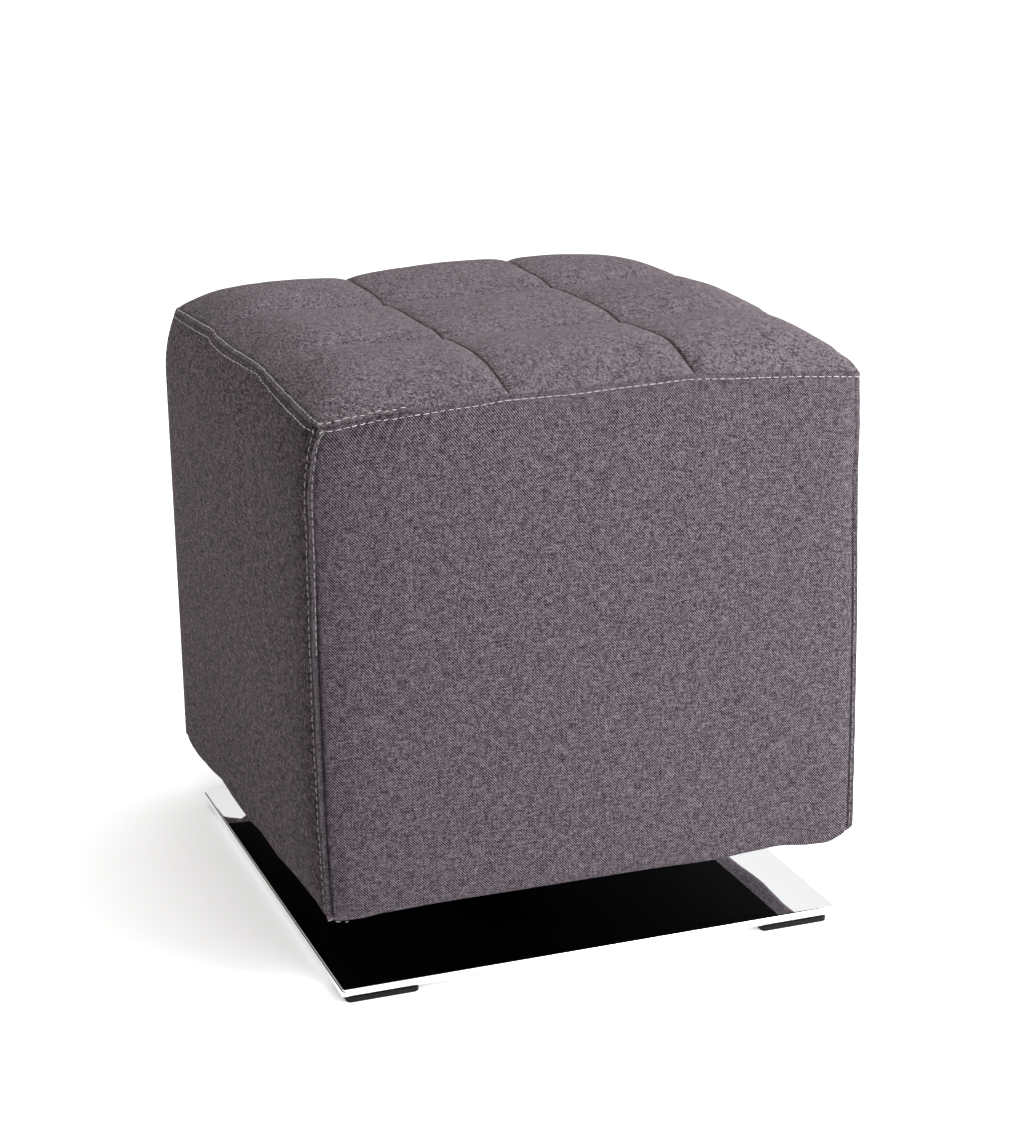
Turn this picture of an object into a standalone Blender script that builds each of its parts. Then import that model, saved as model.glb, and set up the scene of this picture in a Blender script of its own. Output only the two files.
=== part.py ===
"""Cube pouf stool: a padded cloth cube on a low column and a square chromed plate.

Metres, +Z up. The floor is Z = 0, and the origin is the middle of the whole stool's outline on the floor.
The front is -Y, and the left side is -X.
"""
import bisect
import math

import bmesh
import bpy
from mathutils import Vector

MM = 0.001
SEAT_GAP = 0.3 * MM               # clearance between pieces that touch
MITRE_GAP = 0.21 * MM             # each side stands back this far at an upright seam

# Padded cube
CUBE_HALF = 210.0 * MM            # from the middle to the upright seams
CUBE_WIDTH = 2.0 * CUBE_HALF
CUBE_HEIGHT = 360.0 * MM          # from the underside to the top corners
WALL = 34.0 * MM                  # thickness of a padded side
FACE_SWELL = 3.0 * MM             # fullness in the middle of a side
EDGE_SWELL = 3.5 * MM             # how far a side stands out of its seams
EDGE_ROLL = 30.0 * MM             # width of the rounded strip along an upright seam
TOP_EDGE_ROLL = 22.0 * MM         # the same below the top seam
SEAM_PULL = 4                     # higher keeps the rise of the top seam nearer to it
SEAM_SWELL = 4.0 * MM             # how far the top seam bows out between its corners
LEAN_X = -4.5 * MM                # the soft cube leans this far over its height
LEAN_Y = 3.0 * MM
SECTIONS_PER_FIELD = 10           # grid cells between two channels of the quilting
CROWDING = 0.6                    # how far the cells crowd towards the channels
FACE_ROWS = 16
END_CROWDING = 0.08               # rows lie closer together near the hem and the top seam

# How far the top corners draw in, by (x side, y side), and the height over which they do
CORNER_DRAW_IN = {(-1, -1): 9.0 * MM, (1, -1): 2.5 * MM, (1, 1): 6.0 * MM, (-1, 1): 9.0 * MM}
DRAW_IN_HEIGHT = 52.0 * MM

# How far an upright seam stands out of its straight line: (height in mm, along X in mm, along Y in mm)
SEAM_BOW = {
    (-1, -1): ((0, 1.0, 0.0), (33, 2.4, 0.3), (70, 3.3, 0.5), (120, 3.8, 0.5), (215, 4.2, 0.5), (272, 3.4, 0.5),
               (318, 3.0, 0.4), (345, 1.5, 0.2), (360, 0.0, 0.0)),
    (1, -1): ((0, 2.3, 0.0), (75, 2.4, 0.0), (175, 1.8, 0.0), (213, 0.9, 0.0), (243, 0.0, 0.0), (290, -0.9, 0.0),
              (330, -0.2, 0.0), (360, 1.0, 0.0)),
    (1, 1): ((0, 0.0, 0.0), (360, 0.0, 0.0)),
    (-1, 1): ((0, 0.0, 0.0), (360, 0.0, 0.0)),
}

# Rise of the top seam over the lowest corner: (fraction from the left end seen from outside, rise in mm)
SEAM_RISE = {
    "front": ((0, 0), (0.11, 5.9), (0.26, 9.8), (0.333, 12.5), (0.44, 12.6), (0.575, 14.9),
              (0.667, 16.2), (0.76, 13.8), (0.87, 11.5), (0.93, 9.4), (1, 6.4)),
    "right": ((0, 6.4), (0.06, 9.5), (0.12, 13.8), (0.23, 16.8), (0.333, 16.4), (0.42, 19.7), (0.50, 20.6),
              (0.58, 18.7), (0.667, 16.8), (0.78, 13.9), (0.90, 8.0), (1, 1.0)),
    "back": ((0, 1.0), (0.12, 9.0), (0.25, 13.4), (0.333, 15.6), (0.45, 14.2), (0.55, 12.0),
             (0.667, 9.2), (0.757, 7.6), (0.82, 7.5), (0.91, 6.3), (1, 1.5)),
    "left": ((0, 1.5), (0.12, 4.3), (0.22, 6.4), (0.32, 9.7), (0.36, 6.6), (0.46, 6.7), (0.58, 9.3),
             (0.667, 11.4), (0.72, 8.2), (0.79, 5.5), (0.90, 3.0), (1, 0)),
}

# Waves of the turned-under lower edge: (fraction from the left end seen from outside, height in mm)
HEM_WAVE = {
    "front": ((0, -0.5), (0.025, -1.7), (0.06, -1.8), (0.09, -0.5), (0.12, -0.4), (0.20, 0.3), (0.30, 0.3),
              (0.45, 0.6), (0.60, 0.6), (0.73, -0.5), (0.80, 1.0), (0.855, 1.9), (0.92, -1.2), (0.957, -1.8),
              (0.98, 1.2), (1, 6.0)),
    "right": ((0, 6.0), (0.05, 0.6), (0.10, -1.6), (0.22, 0.4), (0.33, -2.0), (0.47, 0.8), (0.60, -1.6),
              (0.74, 0.6), (0.86, -2.4), (1, -0.8)),
    "back": ((0, -0.8), (0.09, -2.8), (0.20, 0.2), (0.35, -1.8), (0.50, 0.4), (0.64, -2.4),
             (0.77, -2.2), (0.86, -5.0), (0.882, -3.6), (0.908, 3.0), (0.93, 0.5), (1, -11.5)),
    "left": ((0, -11.5), (0.06, -13.0), (0.12, -13.0), (0.20, -10.2), (0.31, -4.4), (0.38, -4.8), (0.51, -4.4),
             (0.60, -0.6), (0.70, -1.6), (0.84, 2.6), (0.95, 4.4), (1, -0.5)),
}

# Turned-under lower edge: (distance in from the side, height, share of the wave)
HEM_FOLD = ((WALL, 1.5 * MM, 0.0), (12.5 * MM, 1.5 * MM, 0.0), (6.5 * MM, -1.4 * MM, 1.0),
            (3.4 * MM, -1.2 * MM, 1.0), (1.0 * MM, 0.8 * MM, 1.0))
HEM_TOP = 4.5 * MM                # height where the side runs straight up
HEM_REACH = 12.0 * MM             # the side starts to draw in towards the fold over this height
HEM_ROLL = 40.0 * MM
HEM_NARROWS = 12.0 * MM           # distance in from the side over which the swell dies out below
WAVE_FADE = 60.0 * MM             # height over which the waves die out
WAVE_POWER = 1.5

# Quilted top
CROWN = 18.5 * MM                 # rise of the top from its seam to its fields
CROWN_ROLL = 62.0 * MM            # width of the rounded border of the top
CROWN_POWER = 2.3
FRONT_SOFTNESS = 0.72             # lower makes the front border rounder
CORNER_FULLNESS = 3.0             # higher fills the four corners more
TINY = 0.001 * MM
MIDDLE_SETTLE = 0.6               # how far the middle gives up the rise that its seams have
MIDDLE_ROLL = 150.0 * MM
PUFF = 3.0 * MM                   # extra fullness in the middle of each of the nine fields
SEWN_DEPTHS = (2.6 * MM, 2.8 * MM)        # of the two sewn channels that run front to back
SEWN_WIDTH = 7.0 * MM
SEWN_END_DEPTHS = (4.0 * MM, 8.0 * MM)    # extra depth near the ends of those channels
SEWN_END_REACH = 32.0 * MM
HOLLOW_START = 0.45               # lower lets the channels bite sooner beside the border seam
PULLED_DEPTH = 2.5 * MM           # depth of the two softer hollows that run across
PULLED_WIDTH = 20.0 * MM
NIPPED_DEPTH = 1.6 * MM           # and of the narrow valley in the middle of each
NIPPED_WIDTH = 8.0 * MM
SEWN_LINES = (0.340, 0.681)       # where the channels lie, as fractions of the top from the left
PULLED_LINES = (0.333, 0.667)     # and from the front

# Black-covered underside
BOARD_HALF = 196.5 * MM
BOARD_SKIN = 1.2 * MM
BOARD_TOP = 14.0 * MM
BOARD_CORNER = 6.0 * MM
BLOCK_CORNER = 2.0 * MM

# Chromed plate, its pads and the column
PLATE_HALF = 198.5 * MM
PLATE_THICK = 5.5 * MM
PLATE_CORNER = 3.0 * MM
PLATE_OFFSET = (-7.5 * MM, -30.0 * MM)    # the plate's middle, from the cube's middle
PAD_HEIGHT = 4.5 * MM
PAD_SIZE = (55.0 * MM, 30.0 * MM)
PAD_INSET = {-1: 3.5 * MM, 1: 9.0 * MM}   # from the plate's left and right edges
PAD_FRONT_INSET = 2.0 * MM
UNDER_GAP = 48.0 * MM             # from the plate to the underside of the cube
FLANGE_RADIUS = 40.0 * MM
FLANGE_THICK = 4.0 * MM
COLUMN_RADIUS = 26.0 * MM

CLOTH = (0.150, 0.125, 0.146, 1.0)
CLOTH_SHADE = (0.128, 0.106, 0.122, 1.0)
UNDER_CLOTH = (0.006, 0.006, 0.007, 1.0)
CHROME = (0.86, 0.87, 0.88, 1.0)
BLACK_STEEL = (0.012, 0.012, 0.013, 1.0)
BLACK_PLASTIC = (0.014, 0.012, 0.012, 1.0)


def remove_all_objects():
    for old in list(bpy.data.objects):
        bpy.data.objects.remove(old, do_unlink=True)


def finish(name, colour, roughness, metallic=0.0):
    material = bpy.data.materials.new(name)
    material.use_nodes = True
    shader = material.node_tree.nodes["Principled BSDF"]
    shader.inputs["Base Color"].default_value = colour
    shader.inputs["Roughness"].default_value = roughness
    shader.inputs["Metallic"].default_value = metallic
    return material


def add_object(name, mesh_work, material, sharp_angle=35.0):
    """Turn a bmesh into a named object, with its faces pointing out and its rounds smooth."""
    bmesh.ops.triangulate(mesh_work, faces=mesh_work.faces[:])
    bmesh.ops.recalc_face_normals(mesh_work, faces=mesh_work.faces[:])
    mesh = bpy.data.meshes.new(name)
    mesh_work.to_mesh(mesh)
    mesh_work.free()
    mesh.shade_smooth()
    mesh.set_sharp_from_angle(angle=math.radians(sharp_angle))
    mesh.materials.append(material)
    piece = bpy.data.objects.new(name, mesh)
    bpy.context.collection.objects.link(piece)
    return piece


# ---------------------------------------------------------------- rules of the cube's shape

def from_table(table, place, column=1):
    """Smooth value between the rows of a table whose first column is the place."""
    places = [row[0] for row in table]
    upper = min(max(bisect.bisect_right(places, place), 1), len(table) - 1)
    start, end = table[upper - 1], table[upper]
    step = min(max((place - start[0]) / (end[0] - start[0]), 0.0), 1.0)
    eased = step * step * (3.0 - 2.0 * step)
    return start[column] + (end[column] - start[column]) * (0.5 * step + 0.5 * eased)


def rolled(distance, width, power=3.0):
    """0 on a seam, 1 past the rounded strip beside it."""
    return 1.0 - (1.0 - min(max(distance / width, 0.0), 1.0)) ** power


def stations(channels):
    """Fractions along an edge, closer together at the corners and at the channels that meet it."""
    stops = (0.0, *channels, 1.0)
    marks = [0.0]
    for start, stop in zip(stops, stops[1:]):
        for step in range(1, SECTIONS_PER_FIELD + 1):
            even = step / SECTIONS_PER_FIELD
            crowded = 0.5 - 0.5 * math.cos(math.pi * even)
            marks.append(start + (stop - start) * (even + CROWDING * (crowded - even)))
    marks[-1] = 1.0
    return marks


def side_stations(side):
    """The stations of a side, from its left end seen from outside."""
    if side == "front":
        return stations(SEWN_LINES)
    if side == "back":
        return [1.0 - mark for mark in reversed(stations(SEWN_LINES))]
    if side == "right":
        return stations(PULLED_LINES)
    return [1.0 - mark for mark in reversed(stations(PULLED_LINES))]


def corner_reach(corner, height):
    """Distance of an upright seam from the middle planes at a height."""
    over = max(0.0, height - (CUBE_HEIGHT - DRAW_IN_HEIGHT)) / DRAW_IN_HEIGHT
    return CUBE_HALF - CORNER_DRAW_IN[corner] * over ** 2


SIDES = {
    # side: (corner at its left end seen from outside, corner at its right end, outward direction)
    "front": ((-1, -1), (1, -1), Vector((0, -1, 0))),
    "right": ((1, -1), (1, 1), Vector((1, 0, 0))),
    "back": ((1, 1), (-1, 1), Vector((0, 1, 0))),
    "left": ((-1, 1), (-1, -1), Vector((-1, 0, 0))),
}


def leaned(point):
    """The whole cube leans a little over its height."""
    share = point.z / CUBE_HEIGHT
    return Vector((point.x + LEAN_X * share, point.y + LEAN_Y * share, point.z))


def upright_seam_point(corner, height, inset=0.0):
    """Point on an upright seam, which may bow out of its straight line."""
    reach = corner_reach(corner, height) - inset
    bow_x, bow_y = (from_table(SEAM_BOW[corner], height / MM, column) * MM for column in (1, 2))
    return Vector((corner[0] * (reach + bow_x), corner[1] * (reach + bow_y), height))


def seam_line_point(side, fraction, height, inset=0.0):
    """Point on the straight line between a side's two upright seams."""
    start, end, _ = SIDES[side]
    return upright_seam_point(start, height, inset).lerp(upright_seam_point(end, height, inset), fraction)


def side_surface_point(side, fraction, rise_share):
    """Point on the outer face of a side; rise_share runs from the hem at 0 to the top seam at 1."""
    outward = SIDES[side][2]
    seam_rise = from_table(SEAM_RISE[side], fraction) * MM
    wave = from_table(HEM_WAVE[side], fraction) * MM
    level = HEM_TOP + rise_share * (CUBE_HEIGHT - HEM_TOP)
    point = seam_line_point(side, fraction, level)
    edge = rolled(min(fraction, 1.0 - fraction) * CUBE_WIDTH, EDGE_ROLL)
    below_top = rolled(CUBE_HEIGHT - level, TOP_EDGE_ROLL, 2.0)
    above_hem = rolled(level + HEM_REACH, HEM_ROLL, 2.0)
    middle = math.sin(math.pi * fraction) * math.sin(math.pi * rise_share)
    swell = edge * EDGE_SWELL * below_top * above_hem + FACE_SWELL * middle
    swell += edge * SEAM_SWELL * (1.0 - below_top)
    point += outward * swell
    point.z += seam_rise * rise_share ** SEAM_PULL
    point.z += wave * max(0.0, 1.0 - level / WAVE_FADE) ** WAVE_POWER
    return point


def top_seam_point(side, fraction):
    return side_surface_point(side, fraction, 1.0)


def inner_corner_line(side, fraction, height):
    """Point on the inner face of a side, WALL behind its seams."""
    start, end, _ = SIDES[side]
    reach = CUBE_HALF - WALL
    first = Vector((start[0] * reach, start[1] * reach, height))
    last = Vector((end[0] * reach, end[1] * reach, height))
    return first.lerp(last, fraction)


# ---------------------------------------------------------------- padded pieces

def side_section(side, fraction):
    """Closed outline of a side at one station: hem, outer face, top mitre and inner face."""
    outward = SIDES[side][2]
    wave = from_table(HEM_WAVE[side], fraction) * MM
    hem_swell = side_surface_point(side, fraction, 0.0) - seam_line_point(side, fraction, HEM_TOP)
    outline = []
    for inset, height, wave_share in HEM_FOLD:
        point = seam_line_point(side, fraction, height, inset)
        share = 1.0 - min(inset / HEM_NARROWS, 1.0)
        point += outward * hem_swell.dot(outward) * share
        point.z += wave * wave_share
        outline.append(point)
    for row in range(FACE_ROWS + 1):
        even = row / FACE_ROWS
        crowded = even - END_CROWDING * math.sin(2.0 * math.pi * even)
        outline.append(side_surface_point(side, fraction, crowded))
    outline.append(inner_corner_line(side, fraction, CUBE_HEIGHT - WALL))
    return outline


def make_side(side, material):
    """A padded side: its outline carried from one upright seam to the other, mitred at both."""
    start, end, outward = SIDES[side]
    along = Vector((end[0] - start[0], end[1] - start[1], 0)).normalized()
    marks = side_stations(side)
    work = bmesh.new()
    rings = []
    for mark in marks:
        clearance = along * MITRE_GAP * (1.0 - 2.0 * mark)
        rings.append([work.verts.new(leaned(point + clearance)) for point in side_section(side, mark)])
    count = len(rings[0])
    for ring, following in zip(rings, rings[1:]):
        for index in range(count):
            after = (index + 1) % count
            work.faces.new((ring[index], following[index], following[after]))
            work.faces.new((ring[index], following[after], ring[after]))
    work.faces.new(rings[0])
    work.faces.new(list(reversed(rings[-1])))
    return add_object("panel_" + side, work, material)


def channel_hollow(across, along):
    """Depth of the sewn and pulled channels below the crown."""
    sewn, depth, end_depth = min((abs(across - line) * CUBE_WIDTH, depth, end_depth) for line, depth, end_depth
                                 in zip(SEWN_LINES, SEWN_DEPTHS, SEWN_END_DEPTHS))
    pulled = min(abs(along - line) for line in PULLED_LINES) * CUBE_WIDTH
    from_end = min(along, 1.0 - along) * CUBE_WIDTH
    sewn_depth = depth + end_depth * math.exp(-(from_end / SEWN_END_REACH) ** 2)
    return (sewn_depth * math.exp(-sewn / SEWN_WIDTH)
            + PULLED_DEPTH * math.exp(-(pulled / PULLED_WIDTH) ** 2)
            + NIPPED_DEPTH * math.exp(-pulled / NIPPED_WIDTH))


def distance_from_seam(across, along, front_softness=1.0):
    """Rounded distance to the nearest side of the top."""
    from_side = max(min(across, 1.0 - across) * CUBE_WIDTH, TINY)
    from_end = max((along * front_softness if along < 0.5 else 1.0 - along) * CUBE_WIDTH, TINY)
    return (from_side ** -CORNER_FULLNESS + from_end ** -CORNER_FULLNESS) ** (-1.0 / CORNER_FULLNESS)


def puff(fraction, lines):
    """0 on a channel, 1 halfway between two."""
    stops = (0.0, *lines, 1.0)
    upper = min(max(bisect.bisect_right(stops, fraction), 1), len(stops) - 1)
    return math.sin(math.pi * (fraction - stops[upper - 1]) / (stops[upper] - stops[upper - 1]))


def quilt_height(across, along):
    """Height of the quilted top over a smooth sheet stretched between its seams."""
    border = rolled(distance_from_seam(across, along, FRONT_SOFTNESS), CROWN_ROLL, CROWN_POWER)
    field = puff(across, SEWN_LINES) * puff(along, PULLED_LINES)
    return (CROWN + PUFF * field) * border - channel_hollow(across, along) * border ** HOLLOW_START


def top_surface_point(across, along):
    """Point on the quilted top: a patch between the four seams, settled in its middle, plus the quilting."""
    front = top_seam_point("front", across)
    back = top_seam_point("back", 1.0 - across)
    left = top_seam_point("left", 1.0 - along)
    right = top_seam_point("right", along)
    corners = (top_seam_point("front", 0.0), top_seam_point("front", 1.0),
               top_seam_point("back", 1.0), top_seam_point("back", 0.0))
    sheet = front.lerp(back, along) + left.lerp(right, across)
    sheet -= corners[0].lerp(corners[1], across).lerp(corners[2].lerp(corners[3], across), along)
    settled = MIDDLE_SETTLE * rolled(distance_from_seam(across, along), MIDDLE_ROLL, 2.0)
    sheet.z -= (sheet.z - CUBE_HEIGHT) * settled
    sheet.z += quilt_height(across, along)
    return sheet


def make_quilted_top(material):
    """The quilted top as one filled cushion, mitred onto the four sides."""
    across_marks = stations(SEWN_LINES)
    along_marks = stations(PULLED_LINES)
    last = len(across_marks) - 1
    lift = Vector((0, 0, SEAT_GAP))
    work = bmesh.new()
    grid = [[work.verts.new(leaned(top_surface_point(across, along)) + lift) for across in across_marks]
            for along in along_marks]
    for row, next_row in zip(grid, grid[1:]):
        for index in range(last):
            work.faces.new((row[index], row[index + 1], next_row[index + 1], next_row[index]))
    seam = [grid[0][i] for i in range(last)] + [grid[i][last] for i in range(last)]
    seam += [grid[last][last - i] for i in range(last)] + [grid[last - i][0] for i in range(last)]
    under = []
    for side in ("front", "right", "back", "left"):
        for mark in side_stations(side)[:-1]:
            point = leaned(inner_corner_line(side, mark, CUBE_HEIGHT - WALL))
            under.append(work.verts.new(point + lift))
    middle = work.verts.new(leaned(Vector((0, 0, CUBE_HEIGHT - WALL))) + lift)
    count = len(seam)
    for index in range(count):
        after = (index + 1) % count
        work.faces.new((seam[index], under[after], seam[after]))
        work.faces.new((seam[index], under[index], under[after]))
        work.faces.new((under[index], middle, under[after]))
    return add_object("seat_top", work, material)


# ---------------------------------------------------------------- board, plate, column and pads

def rounded_outline(half_x, half_y, radius, steps=3):
    """Corner points of a rectangle with round corners, counter-clockwise."""
    points = []
    for quarter, (sign_x, sign_y) in enumerate(((1, 1), (-1, 1), (-1, -1), (1, -1))):
        for step in range(steps + 1):
            angle = math.radians(90.0 * (quarter + step / steps))
            points.append((sign_x * (half_x - radius) + radius * math.cos(angle),
                           sign_y * (half_y - radius) + radius * math.sin(angle)))
    return points


def circle_outline(radius, sides=32):
    return [(radius * math.cos(2.0 * math.pi * k / sides), radius * math.sin(2.0 * math.pi * k / sides))
            for k in range(sides)]


def make_stack(name, levels, centre, material, sharp_angle=35.0):
    """A solid through outlines at rising heights: levels are (outline, height)."""
    work = bmesh.new()
    rings = [[work.verts.new((centre[0] + x, centre[1] + y, height)) for x, y in outline]
             for outline, height in levels]
    count = len(rings[0])
    for ring, above in zip(rings, rings[1:]):
        for index in range(count):
            after = (index + 1) % count
            work.faces.new((ring[index], ring[after], above[after], above[index]))
    work.faces.new(list(reversed(rings[0])))
    work.faces.new(rings[-1])
    return add_object(name, work, material, sharp_angle)


def make_board(material):
    """Black-covered board: its cover laps the turned-under cloth, its block lies between the sides."""
    block_half = CUBE_HALF - WALL - 4.0 * SEAT_GAP
    cover = rounded_outline(BOARD_HALF, BOARD_HALF, BOARD_CORNER)
    inside = rounded_outline(block_half, block_half, BLOCK_CORNER)
    levels = ((cover, 0.0), (cover, BOARD_SKIN), (inside, BOARD_SKIN), (inside, BOARD_TOP))
    return make_stack("underside_board", levels, (0.0, 0.0), material)


def make_plate(material):
    """Chromed plate with a full round on its upper edge."""
    round_top = 2.2 * MM
    levels = [(0.8 * MM, 0.0), (0.0, 0.8 * MM)]
    for step in range(5):
        angle = math.radians(90.0 * step / 4)
        levels.append((round_top * (1.0 - math.cos(angle)), PLATE_THICK - round_top * (1.0 - math.sin(angle))))
    stack = []
    for inset, height in levels:
        half = PLATE_HALF - inset
        stack.append((rounded_outline(half, half, max(PLATE_CORNER - inset, 0.5 * MM)), PAD_HEIGHT + height))
    return make_stack("base_plate", stack, PLATE_OFFSET, material, 60.0)


def make_column(material):
    """Plain steel column between two round flanges."""
    low = PAD_HEIGHT + PLATE_THICK + SEAT_GAP
    high = PAD_HEIGHT + PLATE_THICK + UNDER_GAP - SEAT_GAP
    profile = ((FLANGE_RADIUS, low), (FLANGE_RADIUS, low + FLANGE_THICK), (COLUMN_RADIUS, low + FLANGE_THICK),
               (COLUMN_RADIUS, high - FLANGE_THICK), (FLANGE_RADIUS, high - FLANGE_THICK), (FLANGE_RADIUS, high))
    levels = [(circle_outline(radius), height) for radius, height in profile]
    return make_stack("column", levels, PLATE_OFFSET, material)


def make_pads(material):
    """Four corner pads under the plate."""
    names = {-1: "left", 1: "right"}
    for side_x in (-1, 1):
        for side_y in (-1, 1):
            half_x, half_y = PAD_SIZE[0] / 2.0, PAD_SIZE[1] / 2.0
            centre = (PLATE_OFFSET[0] + side_x * (PLATE_HALF - PAD_INSET[side_x] - half_x),
                      PLATE_OFFSET[1] + side_y * (PLATE_HALF - PAD_FRONT_INSET - half_y))
            edge = 0.6 * MM
            full = rounded_outline(half_x, half_y, 3.0 * MM)
            foot = rounded_outline(half_x - edge, half_y - edge, 2.4 * MM)
            levels = ((foot, 0.0), (full, edge), (full, PAD_HEIGHT - SEAT_GAP))
            place = "front" if side_y < 0 else "back"
            make_stack("pad_" + place + "_" + names[side_x], levels, centre, material)


# ---------------------------------------------------------------- whole stool

def place_on_floor(cube_pieces):
    """Lift the cube onto its column, and bring the middle of the whole outline to the origin."""
    lift = PAD_HEIGHT + PLATE_THICK + UNDER_GAP
    for piece in cube_pieces:
        for vertex in piece.data.vertices:
            vertex.co.z += lift
    points = [vertex.co for piece in bpy.data.objects for vertex in piece.data.vertices]
    middle_x = (min(p.x for p in points) + max(p.x for p in points)) / 2.0
    middle_y = (min(p.y for p in points) + max(p.y for p in points)) / 2.0
    shift = Vector((round(-middle_x, 4), round(-middle_y, 4), 0.0))
    for piece in bpy.data.objects:
        for vertex in piece.data.vertices:
            vertex.co += shift


def main():
    remove_all_objects()
    cloth = finish("melange_cloth", CLOTH, 0.95)
    cloth_shade = finish("melange_cloth_side", CLOTH_SHADE, 0.95)
    under_cloth = finish("black_under_cloth", UNDER_CLOTH, 0.9)
    chrome = finish("chrome", CHROME, 0.05, 1.0)
    black_steel = finish("black_steel", BLACK_STEEL, 0.45, 0.6)
    black_plastic = finish("black_plastic", BLACK_PLASTIC, 0.5)
    cube_pieces = [make_side(side, cloth_shade) for side in SIDES]
    cube_pieces.append(make_quilted_top(cloth))
    cube_pieces.append(make_board(under_cloth))
    make_plate(chrome)
    make_column(black_steel)
    make_pads(black_plastic)
    place_on_floor(cube_pieces)


main()
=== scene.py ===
"""Cube pouf stool: melange cloth, double top-stitching, a quilted top and a mirror-chromed floor plate."""
import math

import bpy
import numpy as np
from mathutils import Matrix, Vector


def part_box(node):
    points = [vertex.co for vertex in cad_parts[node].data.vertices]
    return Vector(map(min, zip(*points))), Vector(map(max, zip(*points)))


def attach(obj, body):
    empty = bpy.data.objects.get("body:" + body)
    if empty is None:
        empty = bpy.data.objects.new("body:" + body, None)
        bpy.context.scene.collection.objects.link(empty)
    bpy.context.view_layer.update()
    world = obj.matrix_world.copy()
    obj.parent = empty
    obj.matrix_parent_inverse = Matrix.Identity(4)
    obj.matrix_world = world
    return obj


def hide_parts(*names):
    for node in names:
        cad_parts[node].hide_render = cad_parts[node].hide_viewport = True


bl_info = {
    "name": "Cube Pouf Stool",
    "version": (1, 0, 0),
    "blender": (4, 5, 0),
    "location": "3D View > Sidebar > Pouf",
    "description": "Upholsters the cube pouf stool over its solids, and lights it",
    "category": "Object",
}

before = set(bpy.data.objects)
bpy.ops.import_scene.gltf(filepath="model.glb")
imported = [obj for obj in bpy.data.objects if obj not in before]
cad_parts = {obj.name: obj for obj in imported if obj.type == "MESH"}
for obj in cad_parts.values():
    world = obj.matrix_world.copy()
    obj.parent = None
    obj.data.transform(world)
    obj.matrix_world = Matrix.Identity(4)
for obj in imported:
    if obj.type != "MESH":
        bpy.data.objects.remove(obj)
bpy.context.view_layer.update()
MM = 0.001

# Each side: corner at its left end seen from outside, corner at its right end, outward direction
SIDES = {
    "front": ((-1, -1), (1, -1), (0.0, -1.0, 0.0)),
    "right": ((1, -1), (1, 1), (1.0, 0.0, 0.0)),
    "back": ((1, 1), (-1, 1), (0.0, 1.0, 0.0)),
    "left": ((-1, 1), (-1, -1), (-1.0, 0.0, 0.0)),
}

# How far the top corners draw in, by (x side, y side)
CORNER_DRAW_IN = {(-1, -1): 9.0 * MM, (1, -1): 2.5 * MM, (1, 1): 6.0 * MM, (-1, 1): 9.0 * MM}
DRAW_IN_HEIGHT = 52.0 * MM

# How far an upright seam stands out of its straight line: (height, outwards along X, outwards along Y) in mm
SEAM_BOW = {
    (-1, -1): ((0, 1.0, 0.0), (33, 2.4, 0.3), (70, 3.3, 0.5), (120, 3.8, 0.5), (215, 4.2, 0.5),
               (272, 3.4, 0.5), (318, 3.0, 0.4), (345, 1.5, 0.2), (360, 0.0, 0.0)),
    (1, -1): ((0, 2.3, 0.0), (75, 2.4, 0.0), (175, 1.8, 0.0), (213, 0.9, 0.0), (243, 0.0, 0.0),
              (290, -0.9, 0.0), (330, -0.2, 0.0), (360, 1.0, 0.0)),
    (1, 1): ((0, 0.0, 0.0), (360, 0.0, 0.0)),
    (-1, 1): ((0, 0.0, 0.0), (360, 0.0, 0.0)),
}

# Rise of the border seam over its lowest corner: (fraction from the left end seen from outside, rise in mm)
SEAM_RISE = {
    "front": ((0, 0), (0.11, 5.9), (0.26, 9.8), (0.333, 12.5), (0.44, 12.6), (0.575, 14.9),
              (0.667, 16.2), (0.76, 13.8), (0.87, 11.5), (0.93, 9.4), (1, 6.4)),
    "right": ((0, 6.4), (0.06, 9.5), (0.12, 13.8), (0.23, 16.8), (0.333, 16.4), (0.42, 19.7), (0.50, 20.6),
              (0.58, 18.7), (0.667, 16.8), (0.78, 13.9), (0.90, 8.0), (1, 1.0)),
    "back": ((0, 1.0), (0.12, 9.0), (0.25, 13.4), (0.333, 15.6), (0.45, 14.2), (0.55, 12.0),
             (0.667, 9.2), (0.757, 7.6), (0.82, 7.5), (0.91, 6.3), (1, 1.5)),
    "left": ((0, 1.5), (0.12, 4.3), (0.22, 6.4), (0.32, 9.7), (0.36, 6.6), (0.46, 6.7), (0.58, 9.3),
             (0.667, 11.4), (0.72, 8.2), (0.79, 5.5), (0.90, 3.0), (1, 0)),
}

# Waves of the turned-under hem: (fraction from the left end seen from outside, height in mm)
HEM_WAVE = {
    "front": ((0, -0.5), (0.025, -1.7), (0.06, -1.8), (0.09, -0.5), (0.12, -0.4), (0.20, 0.3),
              (0.30, 0.3), (0.45, 0.6), (0.60, 0.6), (0.73, -0.5), (0.80, 1.0), (0.855, 1.9),
              (0.92, -1.2), (0.957, -1.8), (0.98, 1.2), (1, 6.0)),
    "right": ((0, 6.0), (0.05, 0.6), (0.10, -1.6), (0.22, 0.4), (0.33, -2.0), (0.47, 0.8), (0.60, -1.6),
              (0.74, 0.6), (0.86, -2.4), (1, -0.8)),
    "back": ((0, -0.8), (0.09, -2.8), (0.20, 0.2), (0.35, -1.8), (0.50, 0.4), (0.64, -2.4),
             (0.77, -2.2), (0.86, -5.0), (0.882, -3.6), (0.908, 3.0), (0.93, 0.5), (1, -11.5)),
    "left": ((0, -11.5), (0.06, -13.0), (0.12, -13.0), (0.20, -10.2), (0.31, -4.4), (0.38, -4.8),
             (0.51, -4.4), (0.60, -0.6), (0.70, -1.6), (0.84, 2.6), (0.95, 4.4), (1, -0.5)),
}

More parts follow.
